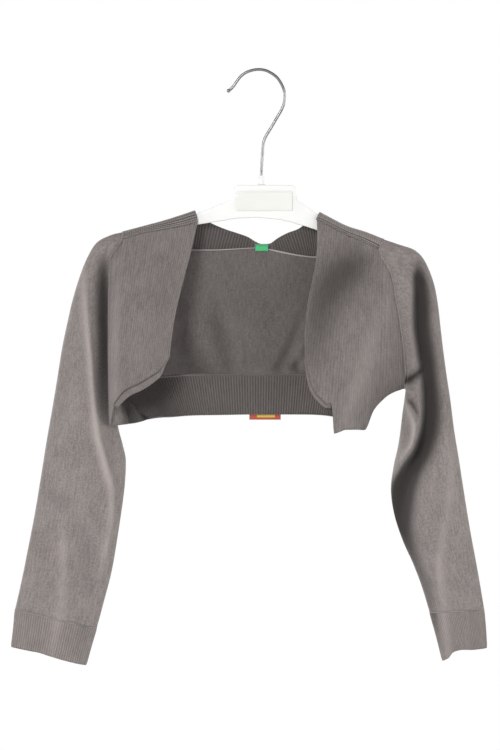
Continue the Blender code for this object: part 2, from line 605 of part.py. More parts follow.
def sleeve_surface(rings, armhole, folds, rows, columns, out):
    """The outer points of a sleeve or a cuff: closed rings from the armhole to the wrist."""
    line = columns_of(rings, np.arange(len(rings)), np.linspace(0, len(rings) - 1, rows))
    turn = even_turns(rings[len(rings) // 2], columns)
    cos, sin = np.cos(turn)[:, None], np.sin(turn)[:, None]
    x = line.outer_x * (1 + cos) / 2 + line.inner_x * (1 - cos) / 2
    z = line.outer_z * (1 + cos) / 2 + line.inner_z * (1 - cos) / 2
    round_off = np.sign(sin) * np.abs(sin) ** SLEEVE_SQUARENESS
    y = np.where(sin > 0, -line.front * round_off, -line.back * round_off)
    way = (1 - cos) / 2
    before = curve_through([row.way for row in armhole], [row.out for row in armhole], way)
    x = x + out * line.armhole * np.where(sin > 0, before, ARMHOLE_BACK_OUT * np.abs(sin))
    surface = np.stack([x, y, z], axis=-1)
    front = np.clip(round_off, 0, 1)
    surface[..., 1] -= fold_rise(surface, folds) * front
    return surface


def band_surface(ribs, pitch, rows):
    """The outer points of a rib band: a column for each half rib, from its top edge to its low edge."""
    places = along(ribs, ("top", "low"))
    count = 2 * round(places[-1] / pitch) + 1
    line = columns_of(ribs, places, np.linspace(0, places[-1], count))
    v = np.linspace(0, 1, rows)
    arch = 4 * v * (1 - v)
    x = np.outer(line.top_x, 1 - v) + np.outer(line.low_x, v) + np.outer(line.bow_x, arch)
    y = np.outer(line.top_y, 1 - v) + np.outer(line.low_y, v)
    z = np.outer(line.top_z, 1 - v) + np.outer(line.low_z, v) + np.outer(line.bow_z, arch)
    return np.stack([x, y, z], axis=-1)


def back_surface(sleeves, hem, neck):
    """The outer points of the plain back, between the sleeves, the shoulders, the neck and the hem."""
    places = along(BACK, ("top",))
    spans = [np.linspace(a, b, max(1, round((b - a) / BACK_COLUMN)), endpoint=False) for a, b in pairs(places)]
    line = columns_of(BACK, places, np.concatenate(spans + [places[-1:]]))
    in_neck = (line.top_x > neck[0, -1, 0]) & (line.top_x < neck[-1, -1, 0])
    neck_z = np.interp(line.top_x, neck[:, -1, 0], neck[:, -1, 2]) - SEAM_GAP
    top_z = np.where(in_neck, neck_z, line.top_z)
    low_z = np.interp(line.low_x, hem[:, 0, 0], hem[:, 0, 2]) + BACK_HEM_GAP
    low_y = np.interp(line.low_x, hem[:, 0, 0], hem[:, 0, 1])
    v = np.linspace(0, 1, BACK_ROWS + 1)
    x = np.outer(line.top_x, 1 - v) + np.outer(line.low_x, v)
    z = np.outer(top_z, 1 - v) + np.outer(low_z, v)
    y = np.empty(z.shape)
    for k in range(len(z)):
        heights = (low_z[k], BACK_MIDDLE, BACK_NECK[0], BACK_TOP[0])
        depths = (low_y[k], line.middle_y[k], BACK_NECK[1], BACK_TOP[1])
        y[k] = curve_through(heights, depths, np.minimum(z[k], BACK_TOP[0]))
    surface = np.stack([x, y, z], axis=-1)
    surface[..., 1] -= fold_rise(surface, FOLDS_BACK)
    for side, edge, out in (("left", 0, -1), ("right", -1, 1)):
        seam_x, seam_y = armhole_at(sleeves[side], surface[edge, :, 2], 1)
        surface[edge, :, 0] = seam_x - out * ARMHOLE_GAP
        surface[edge, :, 1] = seam_y
    return surface


def beam_section(beam):
    """A rounded rectangle across the hanger at one place along it."""
    corner = min(HANGER_CORNER, beam.half * 0.8, (beam.top - beam.low) * 0.4)
    ring = []
    for side, end, start in ((1, 1, 0), (-1, 1, 90), (-1, -1, 180), (1, -1, 270)):
        middle_z = beam.top - corner if end > 0 else beam.low + corner
        for angle in (start, start + 45, start + 90):
            turn = math.radians(angle)
            y = side * (beam.half - corner) + corner * math.cos(turn)
            ring.append((beam.x, y, middle_z + corner * math.sin(turn)))
    return ring


def build_hanger(look):
    """Loft the moulded hanger through its sections."""
    rings = [beam_section(beam) for beam in HANGER]
    points = np.array([point for ring in rings for point in ring]) * MM
    around = len(rings[0])
    faces = [tuple(range(around)), tuple(range(len(points) - around, len(points)))]
    for ring in range(len(rings) - 1):
        for k in range(around):
            a, b = ring * around + k, ring * around + (k + 1) % around
            faces.append((a, b, b + around, a + around))
    solid("hanger", points, faces, look)


def build_hanger_fittings(plastic):
    """Add the bare size plate on the hanger's face and the socket that takes the hook."""
    width, depth, height = PLATE_SIZE
    front = -HANGER_MIDDLE_HALF - SEAM_GAP - depth / 2
    bpy.ops.mesh.primitive_cube_add(location=(PLATE_CENTRE[0] * MM, front * MM, PLATE_CENTRE[1] * MM))
    plate = bpy.context.object
    plate.name = plate.data.name = "hanger_plate"
    plate.data.transform(scaling(width / 2, depth / 2, height / 2))
    corners = plate.modifiers.new("rounded corners", "BEVEL")
    corners.width = PLATE_CORNER * MM
    corners.segments = 1
    move_to_garment(plate, plastic)
    bpy.ops.mesh.primitive_cone_add(
        vertices=SOCKET_SIDES, radius1=SOCKET_RADIUS * MM, radius2=SOCKET_TOP_RADIUS * MM,
        depth=(SOCKET_HIGH - SOCKET_LOW) * MM,
        location=(HOOK[-1][0] * MM, 0, (SOCKET_HIGH + SOCKET_LOW) / 2 * MM),
    )
    socket = bpy.context.object
    socket.name = socket.data.name = "hanger_socket"
    socket.data.shade_smooth()
    socket.data.set_sharp_from_angle(angle=math.radians(40))
    move_to_garment(socket, plastic)


def scaling(x, y, z):
    """A scaling matrix in millimetres."""
    matrix = np.diag([x * MM, y * MM, z * MM, 1.0])
    return [list(row) for row in matrix]


def move_to_garment(thing, look):
    """Take a primitive out of the scene's collection and into the garment's."""
    for collection in list(thing.users_collection):
        collection.objects.unlink(thing)
    place(thing, look)


def build_hook(look):
    """Bend the hook's wire and close it with a rounded tip."""
    wire = bpy.data.curves.new("hook", "CURVE")
    wire.dimensions = "3D"
    wire.bevel_depth = WIRE_RADIUS * MM
    wire.bevel_resolution = 2
    wire.use_fill_caps = True
    line = wire.splines.new("POLY")
    line.points.add(len(HOOK) - 1)
    for point, (x, z) in zip(line.points, HOOK):
        point.co = (x * MM, 0, z * MM, 1)
    line.points[0].radius = HOOK_TIP_RADIUS / WIRE_RADIUS
    line.points[1].radius = HOOK_BALL_RADIUS / WIRE_RADIUS
    place(bpy.data.objects.new("hook", wire), look)


def build_label(name, across, line, look):
    """Hang a woven label by the line that its far face follows from its top to its foot."""
    sheet = [[(x, y, z) for y, z in line] for x in np.linspace(*across, 3)]
    knit_wall(name, sheet, 1, LABEL_WALL, look)


def material(name, colour, roughness, metallic=0.0):
    """A plain finish."""
    look = bpy.data.materials.new(name)
    look.use_nodes = True
    shader = look.node_tree.nodes["Principled BSDF"]
    shader.inputs["Base Color"].default_value = (*colour, 1.0)
    shader.inputs["Roughness"].default_value = roughness
    shader.inputs["Metallic"].default_value = metallic
    return look


def main():
    """Build every piece."""
    for thing in list(bpy.data.objects):
        bpy.data.objects.remove(thing)
    garment = bpy.data.collections.new("cardigan_on_hanger")
    bpy.context.scene.collection.children.link(garment)
    knit = material("taupe knit", TAUPE, 0.9)
    rib = material("taupe rib", TAUPE_DEEP, 0.9)
    plastic = material("white plastic", WHITE, 0.35)
    steel = material("bright steel", STEEL, 0.15, 1.0)

    sleeves = {}
    for side, rings, armhole, folds, out in (
        ("left", SLEEVE_LEFT, ARMHOLE_LEFT, FOLDS_SLEEVE_LEFT, -1),
        ("right", SLEEVE_RIGHT, ARMHOLE_RIGHT, FOLDS_SLEEVE_RIGHT, 1),
    ):
        sleeves[side] = sleeve_surface(rings, armhole, folds, len(rings), SLEEVE_COLUMNS, out)
        knit_wall(f"sleeve_{side}", sleeves[side], out, PLAIN_WALL, knit, closed=True, set_in=True)
    for side, rings, armhole, out in (
        ("left", CUFF_LEFT, ARMHOLE_LEFT, -1),
        ("right", CUFF_RIGHT, ARMHOLE_RIGHT, 1),
    ):
        tube = sleeve_surface(rings, armhole, (), 2, 2 * CUFF_RIBS, out)
        knit_wall(f"cuff_{side}", tube, out, PLAIN_WALL, rib, ribs=CUFF_RIB_HEIGHT, closed=True)
    for side, wales, folds, trim, out, leaning_rows in (
        ("left", FRONT_LEFT, FOLDS_FRONT_LEFT, TRIM_LEFT, -1, 1),
        ("right", FRONT_RIGHT, FOLDS_FRONT_RIGHT, TRIM_RIGHT, 1, FRONT_ROWS + 1),
    ):
        surface, lean = front_surface(wales, folds, sleeves[side], out, leaning_rows)
        knit_wall(f"front_{side}", surface, -out, RIB_WALL, rib, ribs=RIB_HEIGHT, lean=lean)
        knit_wall(f"front_trim_{side}", trim_surface(surface, trim, out), -out, PLAIN_WALL, knit)
    for side, sections, out in (("left", STRIP_LEFT, -1), ("right", STRIP_RIGHT, 1)):
        knit_wall(f"shoulder_strip_{side}", strip_surface(sections), -out, PLAIN_WALL, rib)
    hem = band_surface(HEM_BAND, RIB_PITCH_HEM, 3)
    knit_wall("hem_band", hem, 1, RIB_WALL, rib, ribs=RIB_HEIGHT, inner_ribs=RIB_HEIGHT)
    neck = band_surface(NECK_BAND, RIB_PITCH_NECK, 4)
    knit_wall("neck_band", neck, 1, RIB_WALL, rib, ribs=RIB_HEIGHT, inner_ribs=RIB_HEIGHT)
    knit_wall("back", back_surface(sleeves, hem, neck), 1, PLAIN_WALL, knit)
    build_label("neck_label", NECK_LABEL, NECK_LABEL_LINE, material("green label", GREEN, 0.7))
    build_label("hem_label", HEM_LABEL, HEM_LABEL_LINE, material("red label", RED, 0.7))
    build_hanger(plastic)
    build_hanger_fittings(plastic)
    build_hook(steel)


main()
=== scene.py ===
"""A child's cropped, open-front cardigan in fine rib knit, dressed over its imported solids.

The garment is lofted piece by piece as it is cut and sewn: rib fronts with a bound, cut-away edge, a
plain back on a rib hem band, a rib band at the back of the neck, a strip over each shoulder and two
long sleeves with rib cuffs. A moulded hanger with a wire hook carries it.

Sizes are millimetres unless a name says otherwise. X runs to the right of someone who faces the
garment, Y runs away from them and Z runs up. The origin is the underside of the hook's top.
"""

from __future__ import annotations

import logging
import math
from dataclasses import dataclass
from enum import Enum
from typing import Callable, NamedTuple, Sequence

import bmesh
import bpy
import numpy as np
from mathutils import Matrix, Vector

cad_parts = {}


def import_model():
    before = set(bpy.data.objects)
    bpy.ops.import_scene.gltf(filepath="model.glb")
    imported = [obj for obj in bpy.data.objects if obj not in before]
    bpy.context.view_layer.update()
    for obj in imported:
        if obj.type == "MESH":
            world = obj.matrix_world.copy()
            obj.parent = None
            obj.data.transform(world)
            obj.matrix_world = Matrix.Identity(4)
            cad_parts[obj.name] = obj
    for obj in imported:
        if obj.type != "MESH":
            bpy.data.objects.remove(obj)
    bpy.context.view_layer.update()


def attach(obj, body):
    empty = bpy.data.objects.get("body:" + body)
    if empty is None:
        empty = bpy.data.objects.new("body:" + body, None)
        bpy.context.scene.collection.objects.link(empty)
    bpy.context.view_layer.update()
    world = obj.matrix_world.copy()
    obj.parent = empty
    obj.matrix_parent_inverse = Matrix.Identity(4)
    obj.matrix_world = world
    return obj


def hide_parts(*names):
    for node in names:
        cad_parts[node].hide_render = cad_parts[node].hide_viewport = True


log = logging.getLogger("cardigan")
MM = 0.001
BODY = "root"

# Knit
PLAIN_WALL = 1.3
RIB_WALL = 1.3
FRONT_PITCH = 2.16
HEM_PITCH = 2.45
NECK_PITCH = 2.85
CUFF_RIBS = 80
SEAM_GAP = 0.3
ARMHOLE_GAP = 0.6
UNDERARM_DEPTH = 2.2
RIB_STEPS = 6


class Side(Enum):
    """A side of the garment, as seen by someone who faces it."""

    LEFT = -1
    RIGHT = 1

    @property
    def out(self) -> int:
        """The sign of X towards this side."""
        return self.value

    @property
    def word(self) -> str:
        """The side's name in a piece's name."""
        return self.name.lower()


class Wale(NamedTuple):
    """A wale line of a front: the ribs before it, its ends, its depth at four heights, its bow and its S.

    A seam of 1 puts its top on the armhole.
    """

    ribs: float
    top_x: float
    top_z: float
    low_x: float
    low_z: float
    top_y: float
    upper_y: float
    lower_y: float
    low_y: float
    bow: float
    sway: float
    seam: float


class Trim(NamedTuple):
    """A section of a front's bound edge: the ribs before it, its width and how far it curls forward."""

    ribs: float
    width: float
    curl: float


class Strip(NamedTuple):
    """A section of a shoulder strip: its ridge, and the seam where the front hangs from it."""

    ridge_x: float
    ridge_z: float
    seam_x: float
    seam_z: float


class Step(NamedTuple):
    """A step across a shoulder strip, as shares of its depth, its drop and its sideways way, and its welt."""

    depth: float
    drop: float
    way: float
    welt: float


class Armhole(NamedTuple):
    """A point of an armhole's front: its way down it, and how far it stands out of the straight line."""

    way: float
    out: float


class Ring(NamedTuple):
    """A ring of a sleeve: its two silhouette points, its depths, and its share of the armhole's shape."""

    outer_x: float
    outer_z: float
    inner_x: float
    inner_z: float
    front: float
    back: float
    armhole: float


class BandRib(NamedTuple):
    """A rib line of a band: its ends, their depths, and how far it bows half way."""

    top_x: float
    top_z: float
    low_x: float
    low_z: float
    top_y: float
    low_y: float
    bow_x: float
    bow_z: float


class BackSection(NamedTuple):
    """A vertical section of the back: its top, where it meets the hem band, and its depth half way."""

    top_x: float
    top_z: float
    low_x: float
    middle_y: float


class Crease(NamedTuple):
    """A point of a fold: its place seen from the front, its width on each side, and its rise.

    left is the width towards -X of a fold that runs down, right the width towards +X, and a negative
    rise is a trough.
    """

    x: float
    z: float
    left: float
    right: float
    rise: float


Folds = dict[str, Sequence[Crease]]


def curve_through(places: Sequence[float], values: Sequence[float], at: np.ndarray) -> np.ndarray:
    """Read a smooth curve through a table's rows, without swinging past them.

    Args:
        places: where the rows lie, rising.
        values: what they hold.
        at: where the curve is read.

    Returns:
        The curve's values, in the shape of at.
    """
    places = np.asarray(places, float)
    values = np.asarray(values, float)
    at = np.asarray(at, float)
    steps = np.diff(places)
    slopes = np.diff(values) / steps
    ends = np.empty(len(places))
    ends[0], ends[-1] = slopes[0], slopes[-1]
    inner = (slopes[:-1] * steps[1:] + slopes[1:] * steps[:-1]) / (steps[:-1] + steps[1:])
    ends[1:-1] = np.where(slopes[:-1] * slopes[1:] > 0, inner, 0.0)
    i = np.clip(np.searchsorted(places, at, side="right") - 1, 0, len(steps) - 1)
    t = (at - places[i]) / steps[i]
    return (
        (1 + 2 * t) * (1 - t) ** 2 * values[i]
        + t * (1 - t) ** 2 * steps[i] * ends[i]
        + t * t * (3 - 2 * t) * values[i + 1]
        + t * t * (t - 1) * steps[i] * ends[i + 1]
    )


def columns_of(rows: Sequence[NamedTuple], places: Sequence[float], at: np.ndarray) -> NamedTuple:
    """Read every named column of a table at the given places.

    Args:
        rows: the table.
        places: where its rows lie.
        at: where it is read.

    Returns:
        One row of the table's own kind that holds arrays.
    """
    return type(rows[0])(*(curve_through(places, column, at) for column in zip(*rows)))


def along(rows: Sequence[NamedTuple], ends: Sequence[str]) -> np.ndarray:
    """How far along the cloth each row of a table lies, by the largest step of its named ends."""
    lines = [np.array([[getattr(row, end + "_x"), getattr(row, end + "_z")] for row in rows]) for end in ends]
    steps = np.max([np.linalg.norm(np.diff(line, axis=0), axis=1) for line in lines], axis=0)
    return np.concatenate([[0.0], np.cumsum(steps)])


def fold_rise(points: np.ndarray, folds: Folds) -> np.ndarray:
    """How far the folds lift each point of a grid towards the viewer.

    Args:
        points: the grid.
        folds: the folds by name, each a line of creases that is smoothed before it is used.

    Returns:
        The lift of each point, in millimetres.
    """
    rise = np.zeros(points.shape[:-1])
    flat = points[..., [0, 2]]
    for line in folds.values():
        places = np.concatenate([[0.0], np.cumsum([math.dist(a[:2], b[:2]) for a, b in zip(line, line[1:])])])
        smooth = columns_of(line, places, np.linspace(0, places[-1], 4 * len(line)))
        nearest = np.full(rise.shape, np.inf)
        lift = np.zeros(rise.shape)
        rows = list(zip(*smooth))
        for a, b in zip(rows, rows[1:]):
            start, run = np.array(a[:2]), np.array(b[:2]) - np.array(a[:2])
            off = flat - start
            t = np.clip((off @ run) / (run @ run), 0, 1)
            away = np.linalg.norm(off - t[..., None] * run, axis=-1)
            to_right = run[0] * off[..., 1] - run[1] * off[..., 0] > 0
            left, right, height = (a[k] + (b[k] - a[k]) * t for k in (2, 3, 4))
            closer = away < nearest
            nearest = np.where(closer, away, nearest)
            lift = np.where(closer, height * np.exp(-((away / np.where(to_right, right, left)) ** 2)), lift)
        rise += lift
    return rise


def hollow_of(rise: np.ndarray, full: float, crest: float = 8.0) -> np.ndarray:
    """How deep in a fold each point lies: 1 at the full depth, and down to -1 on a high crest. It sets painted shade
    in folds and painted highlight on crests.
    """
    return np.clip(np.where(rise < 0, -rise / full, -rise / crest), -1, 1)


def unevenness(points: np.ndarray, length: float, height: float, seed: float) -> np.ndarray:
    """A soft, uneven swell of the cloth, the same in every run.

    Args:
        points: the grid that swells.
        length: the usual distance between two crests.
        height: the largest rise.
        seed: a number that gives each piece a swell of its own.

    Returns:
        The rise of each point, in millimetres.
    """
    x, z = points[..., 0] / length, points[..., 2] / length
    swell = np.zeros(x.shape)
    for k in range(1, 6):
        turn = seed + 2.4 * k
        wave = (1 + 0.37 * k) * (x * math.cos(turn) + z * math.sin(turn))
        swell += np.sin(2 * math.pi * wave * 0.6 + 1.7 * k * seed) / k
    return height * swell / 2.3


def normals_of(grid: np.ndarray, closed: bool, side: int) -> np.ndarray:
    """Unit normals of a grid that face outwards.

    Args:
        grid: points by column, row and axis.
        closed: whether the last column joins the first.
        side: 1 if the columns crossed with the rows give the outside, or else -1.

    Returns:
        The normals, in the grid's shape.
    """
    if closed:
        padded = np.concatenate([grid[-1:], grid, grid[:1]])
        across = (padded[2:] - padded[:-2]) / 2
    else:
        across = np.gradient(grid, axis=0)
    normal = np.cross(across, np.gradient(grid, axis=1)) * side
    length = np.linalg.norm(normal, axis=-1, keepdims=True)
    return normal / np.where(length > 1e-9, length, 1.0)


def rib_profile(ribs: np.ndarray) -> np.ndarray:
    """The height of a rib across it, from 0 in the furrow at a whole number to 1 on the crest."""
    return (0.5 - 0.5 * np.cos(2 * math.pi * ribs)) ** 0.8


@dataclass
class Cloth:
    """A piece of knit: a grid of points on its outside, by column, row and axis.

    across and down are the pattern's coordinates, in ribs or millimetres across and in millimetres down.
    """

    name: str
    grid: np.ndarray
    across: np.ndarray
    down: np.ndarray
    side: int
    closed: bool = False
    thickness: float = PLAIN_WALL
    relief: np.ndarray | None = None
    inner_relief: np.ndarray | None = None
    lean: np.ndarray | None = None
    hollow: np.ndarray | None = None
    set_in: bool = False

    def faces_of_wall(self) -> tuple[np.ndarray, np.ndarray]:
        """Work out the wall's outer and inner grid.

        Returns:
            The outer grid and the inner one.
        """
        normal = normals_of(self.grid, self.closed, self.side)
        if self.set_in:
            normal[:, 0, 0] = 0
            normal[:, 0] /= np.linalg.norm(normal[:, 0], axis=-1, keepdims=True)
        if self.lean is not None:
            normal[..., 1] -= self.lean
            normal /= np.linalg.norm(normal, axis=-1, keepdims=True)
        outer, inner = self.grid.copy(), self.grid - normal * self.thickness
        if self.relief is not None:
            outer += normal * self.relief[..., None]
        if self.inner_relief is not None:
            inner += normal * self.inner_relief[..., None]
        return outer, inner

    def build(self) -> bpy.types.Object:
        """Make the piece as one closed wall with rounded edges.

        Returns:
            The piece's object, smooth shaded, with the pattern's coordinates as its UV map.
        """
        outer, inner = self.faces_of_wall()
        count, rows = self.grid.shape[:2]
        middle = (outer + inner) / 2
        bulge = self.thickness * 0.35
        for edge, following in ((0, 1), (-1, -2)):
            way = middle[:, edge] - middle[:, following]
            way /= np.maximum(np.linalg.norm(way, axis=-1, keepdims=True), 1e-6)
            middle[:, edge] += way * bulge
        if not self.closed:
            for edge, following in ((0, 1), (-1, -2)):
                way = middle[edge] - middle[following]
                way /= np.maximum(np.linalg.norm(way, axis=-1, keepdims=True), 1e-6)
                middle[edge] += way * bulge
        points = np.concatenate([outer.reshape(-1, 3), inner.reshape(-1, 3), middle.reshape(-1, 3)]) * MM
        index = np.arange(count * rows).reshape(count, rows)
        if self.closed:
            index = np.concatenate([index, index[:1]])
        size = count * rows

        def quads(a: np.ndarray, b: np.ndarray) -> np.ndarray:
            """The faces between two lines of points."""
            return np.stack([a[:-1], a[1:], b[1:], b[:-1]], axis=-1).reshape(-1, 4)

        near = np.stack([index[:-1, :-1], index[1:, :-1], index[1:, 1:], index[:-1, 1:]], axis=-1).reshape(-1, 4)
        faces = [near, near[:, ::-1] + size]
        rims = [(index[:, 0], -1), (index[:, -1], 1)]
        if not self.closed:
            rims += [(index[0], 1), (index[-1], -1)]
        for line, way in rims:
            for upper, lower in ((line, line + 2 * size), (line + 2 * size, line + size)):
                faces.append(quads(upper, lower)[:, ::-way])
        faces = np.concatenate(faces)
        if self.side < 0:
            faces = faces[:, ::-1]
        used = np.zeros(len(points), bool)
        used[faces.ravel()] = True
        renumber = np.cumsum(used) - 1
        mesh = bpy.data.meshes.new(self.name)
        mesh.from_pydata(points[used].tolist(), [], renumber[faces].tolist())
        across = np.broadcast_to(self.across[:, None] if self.across.ndim == 1 else self.across, (count, rows))
        down = np.broadcast_to(self.down, (count, rows))
        pattern = np.stack([across, down], axis=-1).reshape(-1, 2)
        pattern = np.concatenate([pattern, pattern, pattern])[faces.ravel()]
        mesh.uv_layers.new(name="Pattern").data.foreach_set("uv", pattern.ravel().astype(np.float32))
        # Hollow carries the painted shade of folds and grooves, and the painted highlight of crests, into the knit's
        # colour.
        if self.hollow is not None:
            depth = np.concatenate([np.broadcast_to(self.hollow, (count, rows)).ravel()] * 3)[used]
            mesh.attributes.new("Hollow", "FLOAT", "POINT").data.foreach_set("value", depth.astype(np.float32))
        mesh.shade_smooth()
        thing = bpy.data.objects.new(self.name, mesh)
        bpy.context.scene.collection.objects.link(thing)
        return thing

    def dress(self, finish: "Finish", *nodes: str, flat: tuple[float, float] = (0.0, 0.0), area: float = 0.0) -> None:
        """Build the piece, give it its finish and put it in place of its solid.

        Args:
            finish: what it is made of.
            nodes: the solids that it stands for.
            flat: the width and length that it was cut to, in metres, where it is a sheet of cloth. It is not used.
            area: its flat area in square metres, where the cut isn't a rectangle. It is not used.
        """
        thing = self.build()
        finish.put_on(thing)
        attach(thing, BODY)
        if nodes:
            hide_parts(*nodes)
        log.info("%s: %d faces", self.name, len(thing.data.polygons))


def run_along(points: np.ndarray) -> np.ndarray:
    """How far each point of a line lies from its first, along it."""
    return np.concatenate([[0.0], np.cumsum(np.linalg.norm(np.diff(points, axis=0), axis=-1))])


def rows_of(table: Sequence[object], count: int) -> object:
    """A table's columns, read at this many even places from its first row to its last."""
    return columns_of(table, np.arange(len(table)), np.linspace(0, len(table) - 1, count))


def fading_ends(rows: int, least: float) -> np.ndarray:
    """How high a rib stands at each of its points: full inside, and this share of it at both ends."""
    place = np.arange(rows)
    return np.minimum(1, np.minimum(place, rows - 1 - place) / 2 + least)


def thread(name: str, line: np.ndarray, radius: float, closed: bool = False, flatten: float = 1.0) -> Cloth:
    """A seam's thread: a slender round cord through a line of points.

    Args:
        name: the piece's name.
        line: the points, in millimetres.
        radius: half the cord's width.
        closed: whether its end meets its start.
        flatten: its depth as a share of its width.

    Returns:
        The cord as a closed piece of cloth whose columns go round it.
    """
    line = np.concatenate([line, line[:1]]) if closed else line
    way = np.gradient(line, axis=0)
    way /= np.maximum(np.linalg.norm(way, axis=-1, keepdims=True), 1e-9)
    back = np.array([0.0, 1.0, 0.0])
    beside = np.cross(way, back)
    beside /= np.maximum(np.linalg.norm(beside, axis=-1, keepdims=True), 1e-9)
    up = np.cross(beside, way)
    turns = np.linspace(0, 2 * math.pi, 8, endpoint=False)
    grid = np.stack([line + radius * (math.cos(t) * beside + flatten * math.sin(t) * up) for t in turns])
    length = np.concatenate([[0.0], np.cumsum(np.linalg.norm(np.diff(line, axis=0), axis=1))])
    side = 1 if np.sum(normals_of(grid, True, 1)[0] * beside) > 0 else -1
    return Cloth(name, grid, turns / math.pi, length, side, closed=True, thickness=radius * 0.6)


class Value:
    """A number in a material: a socket's output, with Python's operators."""

    def __init__(self, kit: "Shader", socket: bpy.types.NodeSocket) -> None:
        """Keep the socket and the material that it belongs to."""
        self.kit = kit
        self.socket = socket

    def maths(self, operation: str, *others: "Value | float") -> "Value":
        """Add one Math node.

        Args:
            operation: the node's operation.
            others: its further inputs.

        Returns:
            Its result.
        """
        return self.kit.node("ShaderNodeMath", {"operation": operation}, self, *others)

    def __add__(self, other: "Value | float") -> "Value":
        """self + other."""
        return self.maths("ADD", other)

    __radd__ = __add__

    def __sub__(self, other: "Value | float") -> "Value":
        """self - other."""
        return self.maths("SUBTRACT", other)

    def __rsub__(self, other: float) -> "Value":
        """other - self."""
        return self.kit.node("ShaderNodeMath", {"operation": "SUBTRACT"}, other, self)

    def __mul__(self, other: "Value | float") -> "Value":
        """self * other."""
        return self.maths("MULTIPLY", other)

    __rmul__ = __mul__

    def __truediv__(self, other: "Value | float") -> "Value":
        """self / other."""
        return self.maths("DIVIDE", other)

    def __rtruediv__(self, other: float) -> "Value":
        """other / self."""
        return self.kit.node("ShaderNodeMath", {"operation": "DIVIDE"}, other, self)

    def __pow__(self, other: float) -> "Value":
        """self to a power."""
        return self.maths("POWER", other)

    def __abs__(self) -> "Value":
        """The size of self."""
        return self.maths("ABSOLUTE")

    def part(self) -> "Value":
        """What is left of self after its whole number."""
        return self.maths("FRACT")

    def wave(self) -> "Value":
        """The sine of self in turns, from -1 to 1."""
        return (self * (2 * math.pi)).maths("SINE")

    def between(self, low: float, high: float) -> "Value":
        """Self taken from low to high onto 0 to 1, without a corner."""
        settings = {"interpolation_type": "SMOOTHSTEP"}
        return self.kit.node("ShaderNodeMapRange", settings, Value=self, From_Min=low, From_Max=high)


class Shader:
    """A material and its nodes."""

    def __init__(self, name: str) -> None:
        """Start a material whose Principled BSDF is ready to be set."""
        self.material = bpy.data.materials.new(name)
        self.material.use_nodes = True
        self.tree = self.material.node_tree
        self.surface = self.tree.nodes["Principled BSDF"]

    def node(self, kind: str, settings: dict[str, object], *inputs: object, output: int = 0, **named: object) -> Value:
        """Add any node.

        Args:
            kind: the node's type.
            settings: its own settings, set before its sockets.
            inputs: values or links of its sockets in order, None for one that is left alone.
            output: which of its shown outputs is read.
            named: values or links of its sockets by name, with _ for a space.

        Returns:
            The chosen output.
        """
        made = self.tree.nodes.new(kind)
        for key, value in settings.items():
            setattr(made, key, value)
        sockets = [(made.inputs[k], value) for k, value in enumerate(inputs) if value is not None]
        sockets += [(made.inputs[key.replace("_", " ")], value) for key, value in named.items()]
        for socket, value in sockets:
            self.feed(socket, value)
        return Value(self, [socket for socket in made.outputs if socket.enabled][output])

    def feed(self, socket: bpy.types.NodeSocket, value: object) -> None:
        """Link a value to a socket, or set it there."""
        if isinstance(value, Value):
            self.tree.links.new(value.socket, socket)
        else:
            socket.default_value = value

    def set(self, **named: object) -> None:
        """Set or link the surface's sockets by name, with _ for a space."""
        for key, value in named.items():
            self.feed(self.surface.inputs[key.replace("_", " ")], value)

    def pattern(self) -> tuple[Value, Value]:
        """The piece's pattern coordinates, across and down."""
        point = self.node("ShaderNodeUVMap", {"uv_map": "Pattern"})
        return (
            self.node("ShaderNodeSeparateXYZ", {}, point, output=0),
            self.node("ShaderNodeSeparateXYZ", {}, point, output=1),
        )

    def noise(self, size: float, detail: float = 2.0) -> Value:
        """Noise in the object's own space, whose grains are this many millimetres across."""
        place = self.node("ShaderNodeTexCoord", {}, output=3)
        return self.node("ShaderNodeTexNoise", {}, place, Scale=1 / (size * MM), Detail=detail)

    def blend(self, factor: Value | float, first: "Colour", second: "Colour") -> Value:
        """A colour between two."""
        made = self.tree.nodes.new("ShaderNodeMix")
        made.data_type = "RGBA"
        for socket, value in zip((made.inputs[0], made.inputs[6], made.inputs[7]), (factor, first, second)):
            self.feed(socket, value if isinstance(value, (Value, float)) else (*value, 1.0))
        return Value(self, made.outputs[2])

    def bump(self, height: Value, depth: float, strength: float = 1.0) -> Value:
        """A Bump node whose full height is this many millimetres."""
        return self.node("ShaderNodeBump", {}, Strength=strength, Distance=depth * MM, Height=height)


Colour = tuple[float, float, float]


class Knit(Enum):
    """A knit's structure."""

    PLAIN = "plain"
    RIB = "rib"


@dataclass(frozen=True)
class Finish:
    """What a piece is made of: its slot in the record, and a way to put it on."""

    name: str
    slot: str

    def make(self) -> bpy.types.Material:
        """Make the material."""
        raise NotImplementedError

    def put_on(self, thing: bpy.types.Object) -> None:
        """Give a piece this finish."""
        look = bpy.data.materials.get(self.name) or self.make()
        thing.data.materials.clear()
        thing.data.materials.append(look)


